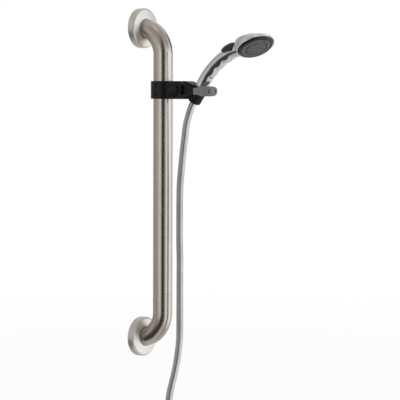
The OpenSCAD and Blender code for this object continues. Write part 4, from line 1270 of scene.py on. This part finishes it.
@dataclass
class SlideHolder(SubAssembly):
    """The moulded holder on the bar, with its lever and clamp."""

    cap: float = 28.0
    cap_rise: float = 3.4
    lever_side: float = 19.6
    shoulder: float = 10.0
    taper: float = 0.5
    grip_way: tuple[float, float, float] = (0.605, -0.797, 0.0)

    def cap_piece(self) -> None:
        """Turns the pivot cap: a flat rim, a fine groove and a low dome."""
        r, h = self.cap / 2, self.cap_rise
        w = np.linspace(0, math.pi / 2, 14)
        dome = np.stack([(r - 4.4) * np.cos(w), h - 0.8 + 1.4 * np.sin(w)], 1)
        dome[-1, 0] = 0.0
        rim = rounded([(0, 0, 0), (r, 0, 0), (r, h - 0.6, 1.0), (r - 2.6, h - 0.2, 0.8), (r - 3.6, h - 1.1, 0.4)], 5)
        place = LAYOUT.pivot()
        place = Place(place.turn, place.put(np.array([0, 0, self.lever_side + 0.02]) * MM))
        piece = make_piece("pivot_cap_disc", [revolved(np.concatenate([rim, dome]), place, 96)], sharp=50)
        self.seat(piece, Finishes.black, ["pivot_cap"], "lever")

    def narrow(self, grip: bpy.types.Object) -> None:
        """Tapers the grip to a round-shouldered tongue: heights shrink within the shoulder of its outermost reach.

        Args:
            grip: the grip without its taper.
        """
        points = np.empty(len(grip.data.vertices) * 3)
        grip.data.vertices.foreach_get("co", points)
        points = points.reshape(-1, 3)
        middle = (points[:, 2].max() + points[:, 2].min()) / 2
        reach = points @ np.array(self.grip_way)
        near = np.clip(1 - (reach.max() - reach) / (self.shoulder * MM), 0, 1)
        keep = 1 - self.taper * (1 - np.sqrt(1 - near**2))
        points[:, 2] = middle + (points[:, 2] - middle) * keep
        grip.data.vertices.foreach_set("co", points.ravel())
        grip.data.update()

    def build(self) -> None:
        """Rounds the moulded pieces and dresses the clamp inside."""
        self.soften("holder_body", "holder_arm", Finishes.black, 1.5)
        self.soften("collar_back", "collar_half", Finishes.black, 0.7)
        self.soften("lever", "clamp_lever", Finishes.black, 1.4, body="lever")
        self.narrow(self.soften("lever_grip", "lever_grip_bow", Finishes.grey, 0.7, body="lever"))
        self.soften("cup_sleeve", "cup_lining", Finishes.rubber, 0.25)
        self.cap_piece()
        self.keep(Finishes.dark_steel, "collar_screws")
        self.keep(Finishes.steel, "lever_spring", "lever_pin", "pin_washer", "clamp_cam")
        self.keep(Finishes.nylon, "slide_liner")
        self.keep(Finishes.rubber, "clamp_shoe")


# ---------------------------------------------------------------- hand shower


@dataclass
class HandShower(SubAssembly):
    """The curved chrome hand shower with its spray face, ring and pause button."""

    handle: float = 24.8
    handle_wall: float = 2.2
    foot: float = 3.0
    foot_round: Pair = (0.8, 0.5)
    neck: float = 13.0
    uv_gap: float = 200.0
    lobe_first: float = 24.0
    lobe_pitch: float = 24.3
    lobe_high: float = 2.4
    lobe_soft: float = 0.02
    lobe_base: float = 0.141
    lobe_low: float = 0.3
    head: float = 73.0
    head_wall: float = 1.9
    head_high: float = 24.0
    head_slope: float = 0.30
    head_lip: float = 0.6
    drum_power: float = 3.2
    drum_skew: float = 0.8
    face: float = 39.2
    ring_top: float = 3.6
    ring_high: float = 10.2
    ring_gap: float = 6.2
    ring_slit: float = 0.4
    bezel_air: float = 0.3
    face_top: float = 4.2
    face_high: float = 9.1
    tab_half: float = 5.5
    nozzle: float = 2.3
    nozzle_inset: float = 1.9
    button_from: float = 78.0
    button_to: float = 115.0
    button_peak: float = 18.6
    button_wrap: float = 92.0
    seat_wrap: float = 107.0
    seat_edge: float = 0.955
    flare_foot: float = 0.62
    flare_end: float = 0.75
    button_travel: float = 1.0
    button_floor: float = 10.9
    button_gap: float = 1.4
    button_air: float = 0.2
    button_edge: float = 0.8
    button_skirt: float = 0.55
    button_power: float = 4.5
    crest_wrap: float = 70.0

    def handle_points(self, t: Array, a: Array, r: Array) -> Array:
        """Points of the handle: a circle at each length along the curved axis.

        Args:
            t: length along the axis, in millimetres.
            a: angle from the spray side, in radians.
            r: the circle's radius, in millimetres.

        Returns:
            Points in the part's frame, in metres.
        """
        on, curve = np.clip(t, 0, LAYOUT.handle_length), LAYOUT.handle_curve
        turn, rest, front = on / curve, t - on, r * np.cos(a)
        y = curve * (np.cos(turn) - 1) - rest * np.sin(turn) - front * np.cos(turn)
        z = curve * np.sin(turn) + rest * np.cos(turn) - front * np.sin(turn)
        return LAYOUT.hand().put(np.stack([r * np.sin(a), y, z], -1) * MM)

    def lobes(self, t: Array, a: Array) -> Array:
        """Four finger lobes: height (sqrt(sin^2 + soft) - base) cos(a)^4 on the spray side, the lowest flatter.

        Args:
            t: length along the axis, in millimetres.
            a: angle from the spray side.

        Returns:
            Height over the handle's circle, in millimetres.
        """
        phase = (t - self.lobe_first) / self.lobe_pitch
        wave = np.sqrt(np.sin(math.pi * phase) ** 2 + self.lobe_soft) - self.lobe_base
        wave = wave * np.where(t < self.lobe_first, self.lobe_low, 1.0)
        inside = (phase > -1) & (phase < 3)
        return np.where(inside, self.lobe_high * wave * np.clip(np.cos(a), 0, 1) ** 4, 0.0)

    def flare(self, t: Array) -> Array:
        """Share of its full width that the button's pad has at a length t: narrow at its foot."""
        along = np.clip((t - self.button_from) / (self.button_to - self.button_from), 0, 1)
        return self.flare_foot + (1 - self.flare_foot) * soft_step(0.0, self.flare_end, along)

    def button_span(self) -> Pair:
        """Middle and half length of the button's seat along the handle."""
        return (self.button_from + self.button_to) / 2, (self.button_to - self.button_from) / 2

    def recess(self, t: Array, a: Array) -> Array:
        """Depth of the button's seat: flat inside the oblong |x|^5 + |y|^5 = 1, with a soft wall.

        Args:
            t: length along the axis, in millimetres.
            a: angle from the spray side.

        Returns:
            Depth under the handle's circle, in millimetres.
        """
        mid, half = self.button_span()
        side = math.radians(self.seat_wrap) * self.flare(t)
        reach = (np.abs((t - mid) / half) ** 5 + np.abs((a - math.pi) / side) ** 5) ** 0.2
        return (self.handle / 2 - self.button_floor) * (1 - soft_step(self.seat_edge, 1.0, reach))

    def shell_piece(self) -> None:
        """The handle: outside with lobes, seat and a rounded foot, and a plain inside."""
        r = self.handle / 2
        ends = np.linspace(-self.foot, LAYOUT.handle_length + self.neck, 240)
        t, a = np.meshgrid(ends, np.linspace(0, 2 * math.pi, 128, endpoint=False), indexing="ij")
        high, deep = self.foot_round
        rim = np.clip((t + self.foot) / high, 0, 1)
        full = r + self.lobes(t, a) - self.recess(t, a) - deep * (1 - np.sqrt(1 - (1 - rim) ** 2))
        outer = self.handle_points(t, a, full)
        inner = self.handle_points(t, a, np.full_like(full, r - self.handle_wall))[::-1]
        along = np.concatenate([ends, ends[::-1] + self.uv_gap, [0]]) * MM
        around = np.linspace(0, 2 * math.pi * r * MM, 129)
        body = Surface(np.concatenate([outer, inner]), along, around, wrap_along=True)
        self.seat(make_piece("handle_shell_chrome", [body], sharp=60), Finishes.chrome, ["handle_shell"])

    def drum(self, r: float, h: float, share: Array, turn: Array) -> Array:
        """Outside or inside of the head, a superellipse whose depth shrinks towards the far tip.

        At the share f of the depth the radius is r (1 - f^n)^(1/n), with n = power - skew sin(turn), and the depth
        is h less the slope times the reach.

        Args:
            r: radius at the rim, in millimetres.
            h: depth in the middle.
            share: column of shares from 0 at the rim to 1 at the pole.
            turn: row of angles.

        Returns:
            Points in the head's frame, in millimetres.
        """
        n = self.drum_power - self.drum_skew * np.sin(turn)
        rho = r * np.clip(1 - share**n, 0, 1) ** (1 / n)
        z = -(h - self.head_slope * rho * np.sin(turn)) * share
        return np.stack([rho * np.cos(turn), rho * np.sin(turn), z], -1)

    def head_piece(self) -> None:
        """The head's shell: outside, a rounded rim and the inside, closed at both poles."""
        turn = np.linspace(0, 2 * math.pi, 160, endpoint=False)[None, :]
        share = (1 - (1 - np.linspace(0, 1, 56)) ** 2.2)[1:, None]
        big, wall = self.head / 2, self.head_wall
        outer = self.drum(big, self.head_high, share, turn)
        inner = self.drum(big - wall, self.head_high - wall, share, turn)[::-1]
        w = np.linspace(0, math.pi, 9)[:, None]
        rho = big - wall / 2 - wall / 2 * np.cos(w)
        lip = np.stack([rho * np.cos(turn), rho * np.sin(turn), self.head_lip * (np.sin(w) - 1) + 0 * turn], -1)
        points = np.concatenate([inner[:-1], lip, outer[1:]]) * MM
        around = np.linspace(0, 2 * math.pi * big * MM, 161)
        grid = Surface(LAYOUT.head().put(points), steps_length(points[:, 0]), around)
        self.seat(make_piece("head_shell_chrome", [grid], sharp=60), Finishes.chrome, ["head_shell"])

    def tip_inside(self, deep: float) -> float:
        """Inside radius of the shell at its thin tip, at a depth under the face.

        Args:
            deep: the depth in millimetres.

        Returns:
            The radius in millimetres.
        """
        n, r = self.drum_power - self.drum_skew, self.inside
        full = self.head_high - self.head_wall - self.head_slope * r
        return r * (1 - (deep / full) ** n) ** (1 / n) * FACET

    @property
    def inside(self) -> float:
        """Inside radius of the head's shell at its rim."""
        return self.head / 2 - self.head_wall

    @property
    def ring(self) -> Pair:
        """Inner and outer radius of the selector ring."""
        return self.face / 2 + self.ring_slit, self.inside - self.ring_gap

    def face_pieces(self) -> None:
        """Bezel, ring with its tab, and middle disc of the spray face."""
        inside, (ring_in, ring_out), r = self.inside, self.ring, self.face / 2
        top, back = self.ring_top, self.ring_top - self.ring_high
        high, low = self.face_top, self.face_top - self.face_high
        air = self.bezel_air
        bezel = [
            (ring_out + self.ring_slit, -5, 0), (self.tip_inside(5) - air, -5, 0),
            (self.tip_inside(2.5) - air, -2.5, 0), (inside * FACET - air, -0.3, 0),
            (inside - 0.5, 0.6, 0.8), (inside - 1.8, top - 1.4, 3.0),
            (ring_out + 1.2, top + 0.5, 1.6), (ring_out + self.ring_slit, top - 0.1, 0.3),
        ]
        ring = [(ring_in, back, 0), (ring_out, back, 0), (ring_out, top, 0.8), (ring_in, top, 0.3)]
        disc = [(0, low, 0), (r, low, 0), (r, high - 1.8, 0.5), (r - 1.4, high, 0.5), (0, high, 0)]
        for name, corners, more, finish, node, body in (
            ("bezel_ring", bezel, [], Finishes.black_gloss, "head_bezel", ""),
            ("selector_ring_face", ring, self.ring_tab(), Finishes.face, "selector_ring", "selector"),
            ("face_disc", disc, [], Finishes.face, "spray_face", ""),
        ):
            skin = revolved(rounded(corners), LAYOUT.head(), 160)
            self.seat(make_piece(name, [skin, *more]), finish, [node], body)

    def ring_tab(self) -> list[Surface]:
        """Thumb tab at the far tip: a section carried across, shrinking to its ends by sqrt(1 - |s|^6).

        Returns:
            The tab's grids: its skin and two ends.
        """
        section = rounded([(-1.4, -0.5, 0), (-0.9, -0.5, 0), (1.4, 0.6, 0.3), (1.4, 2.2, 0.6), (-1.4, 2.6, 0.8)], 5)
        across = np.linspace(-1, 1, 25)
        size = np.sqrt(1 - np.clip(np.abs(across), 0, 0.999) ** 6)[:, None]
        y = self.ring[1] + section[None, :, 0] * size
        z = self.ring_top + section[None, :, 1] * size
        x = np.broadcast_to(across[:, None] * self.tab_half, y.shape)
        points = LAYOUT.head().put(np.stack([x, y, z], -1) * MM)
        grid = Surface(points, across * self.tab_half * MM, np.linspace(0, 0.012, len(section) + 1))
        middles = points.mean(axis=1)
        return [grid, lid(points[0][::-1], middles[0]), lid(points[-1], middles[-1])]

    def nozzles(self, name: str, node: str, rows: Sequence[tuple[float, int]], top: float, body: str) -> None:
        """Soft nozzles: one small turned nub, repeated on rings by turning the whole array of its points.

        Args:
            name: the piece's name.
            node: the solid that it stands for.
            rows: radius and count of each ring.
            top: height of the surface that they stand on, in millimetres.
            body: the moving body.
        """
        r = self.nozzle / 2
        shares = np.array([0, 1, 1, 0.86, 0.66, 0.42, 0.3, 0.26, 0])
        heights = np.array([-1.2, -1.2, 0.1, 0.75, 1.05, 1.1, 0.9, 0.2, 0.2])
        nub = np.stack([shares * r, heights], 1)
        a = np.linspace(0, 2 * math.pi, 12, endpoint=False)
        local = np.stack([nub[:, :1] * np.cos(a), nub[:, :1] * np.sin(a), nub[:, 1:] + 0 * a + top], 2)
        turns = np.concatenate([(np.arange(n) + 0.5) / n * 2 * math.pi for _, n in rows])
        reach = np.concatenate([np.full(n, rho) for rho, n in rows])
        centres = np.stack([reach * np.cos(turns), reach * np.sin(turns), 0 * turns], 1)
        every = LAYOUT.head().put((centres[:, None, None, :] + local[None]) * MM)
        along, around = np.linspace(0, 0.004, len(nub)), np.linspace(0, 0.007, 13)
        grids = [Surface(points, along, around) for points in every]
        self.seat(make_piece(name, grids, sharp=50), Finishes.nozzle, [node], body)

    def button_piece(self) -> None:
        """Pause button: an oblong cap that follows the handle's back and rises to a soft crest.

        Its edge is the oblong |u|^p + |v|^p = 1. It rises by edge + crest (1 - |x|^2.6)^0.62 (1 - y^2), where x is
        the share of the way along from its middle and y the share of the crest's wrap.
        """
        mid, half = self.button_span()
        half -= self.button_gap
        span, power, edge = math.radians(self.button_wrap), self.button_power, self.button_edge
        ring = np.linspace(0, 2 * math.pi, 96, endpoint=False)[None, :]
        size = (np.abs(np.cos(ring)) ** power + np.abs(np.sin(ring)) ** power) ** (1 / power)
        u, v = np.cos(ring) / size, np.sin(ring) / size
        out = np.sin(np.linspace(0, math.pi / 2, 30))[:, None]
        base = self.button_floor + self.button_travel + self.button_air
        t = mid + half * out * u
        a = math.pi + span * self.flare(t) * out * v
        along = np.clip(1 - np.abs((t - mid) / half) ** 2.6, 0, 1) ** 0.62
        over = np.clip(1 - np.abs((a - math.pi) / math.radians(self.crest_wrap)) ** 2, 0, 1)
        rise = edge + (self.button_peak - base - edge) * along * over
        cap = self.handle_points(t, a, base + rise)
        skirt_r = np.array([[self.button_skirt], [0.0]])
        skirt = self.handle_points(t[-1:] + 0 * skirt_r, a[-1:] + 0 * skirt_r, base + skirt_r + 0 * t[-1:])
        under = self.handle_points(t[::-1], a[::-1], base + 0 * t)
        points = np.concatenate([cap, skirt, under[1:]])
        grid = Surface(points, np.linspace(0, 0.06, len(points)), np.linspace(0, 0.1, 97))
        piece = make_piece("pause_button_cap", [grid], sharp=45)
        self.seat(piece, Finishes.black_gloss, ["pause_button"], "button")

    def build(self) -> None:
        """Makes the visible pieces and dresses the ones inside."""
        self.shell_piece()
        self.head_piece()
        self.face_pieces()
        self.nozzles("face_nozzle_set", "face_nozzles", [(5, 6), (10, 12), (15, 18)], self.face_top, self.body)
        rows = [(self.ring[0] + self.nozzle_inset, 22), (self.ring[1] - self.nozzle_inset, 28)]
        self.nozzles("ring_nozzle_set", "ring_nozzles", rows, self.ring_top, "selector")
        self.button_piece()
        self.soften("swivel_nut", "swivel_nut_chrome", Finishes.chrome, 0.4)
        self.keep(Finishes.nylon, "water_chamber", "water_tube", "diverter_disc")
        self.keep(Finishes.rubber, "chamber_seal", "inlet_washer")
        self.keep(Finishes.steel, "inlet_filter", "button_spring")
        self.keep(Finishes.brass, "inlet_stub")


# ---------------------------------------------------------------- the whole set


def main() -> None:
    """Builds the studio and every sub-assembly."""
    logging.basicConfig(level=logging.INFO, format="%(name)s %(message)s")
    Studio().build()
    finishes = Finishes()
    parts: list[SubAssembly] = [
        ShowerHose(finishes, "hose"),
        WallBar(finishes, "wall_bar"),
        SlideHolder(finishes, "holder"),
        HandShower(finishes, "hand_shower"),
    ]
    for part in parts:
        part.build()
        LOG.info("%s: %d new pieces", type(part).__name__, len(part.made))


if __name__ == "__main__":
    main()
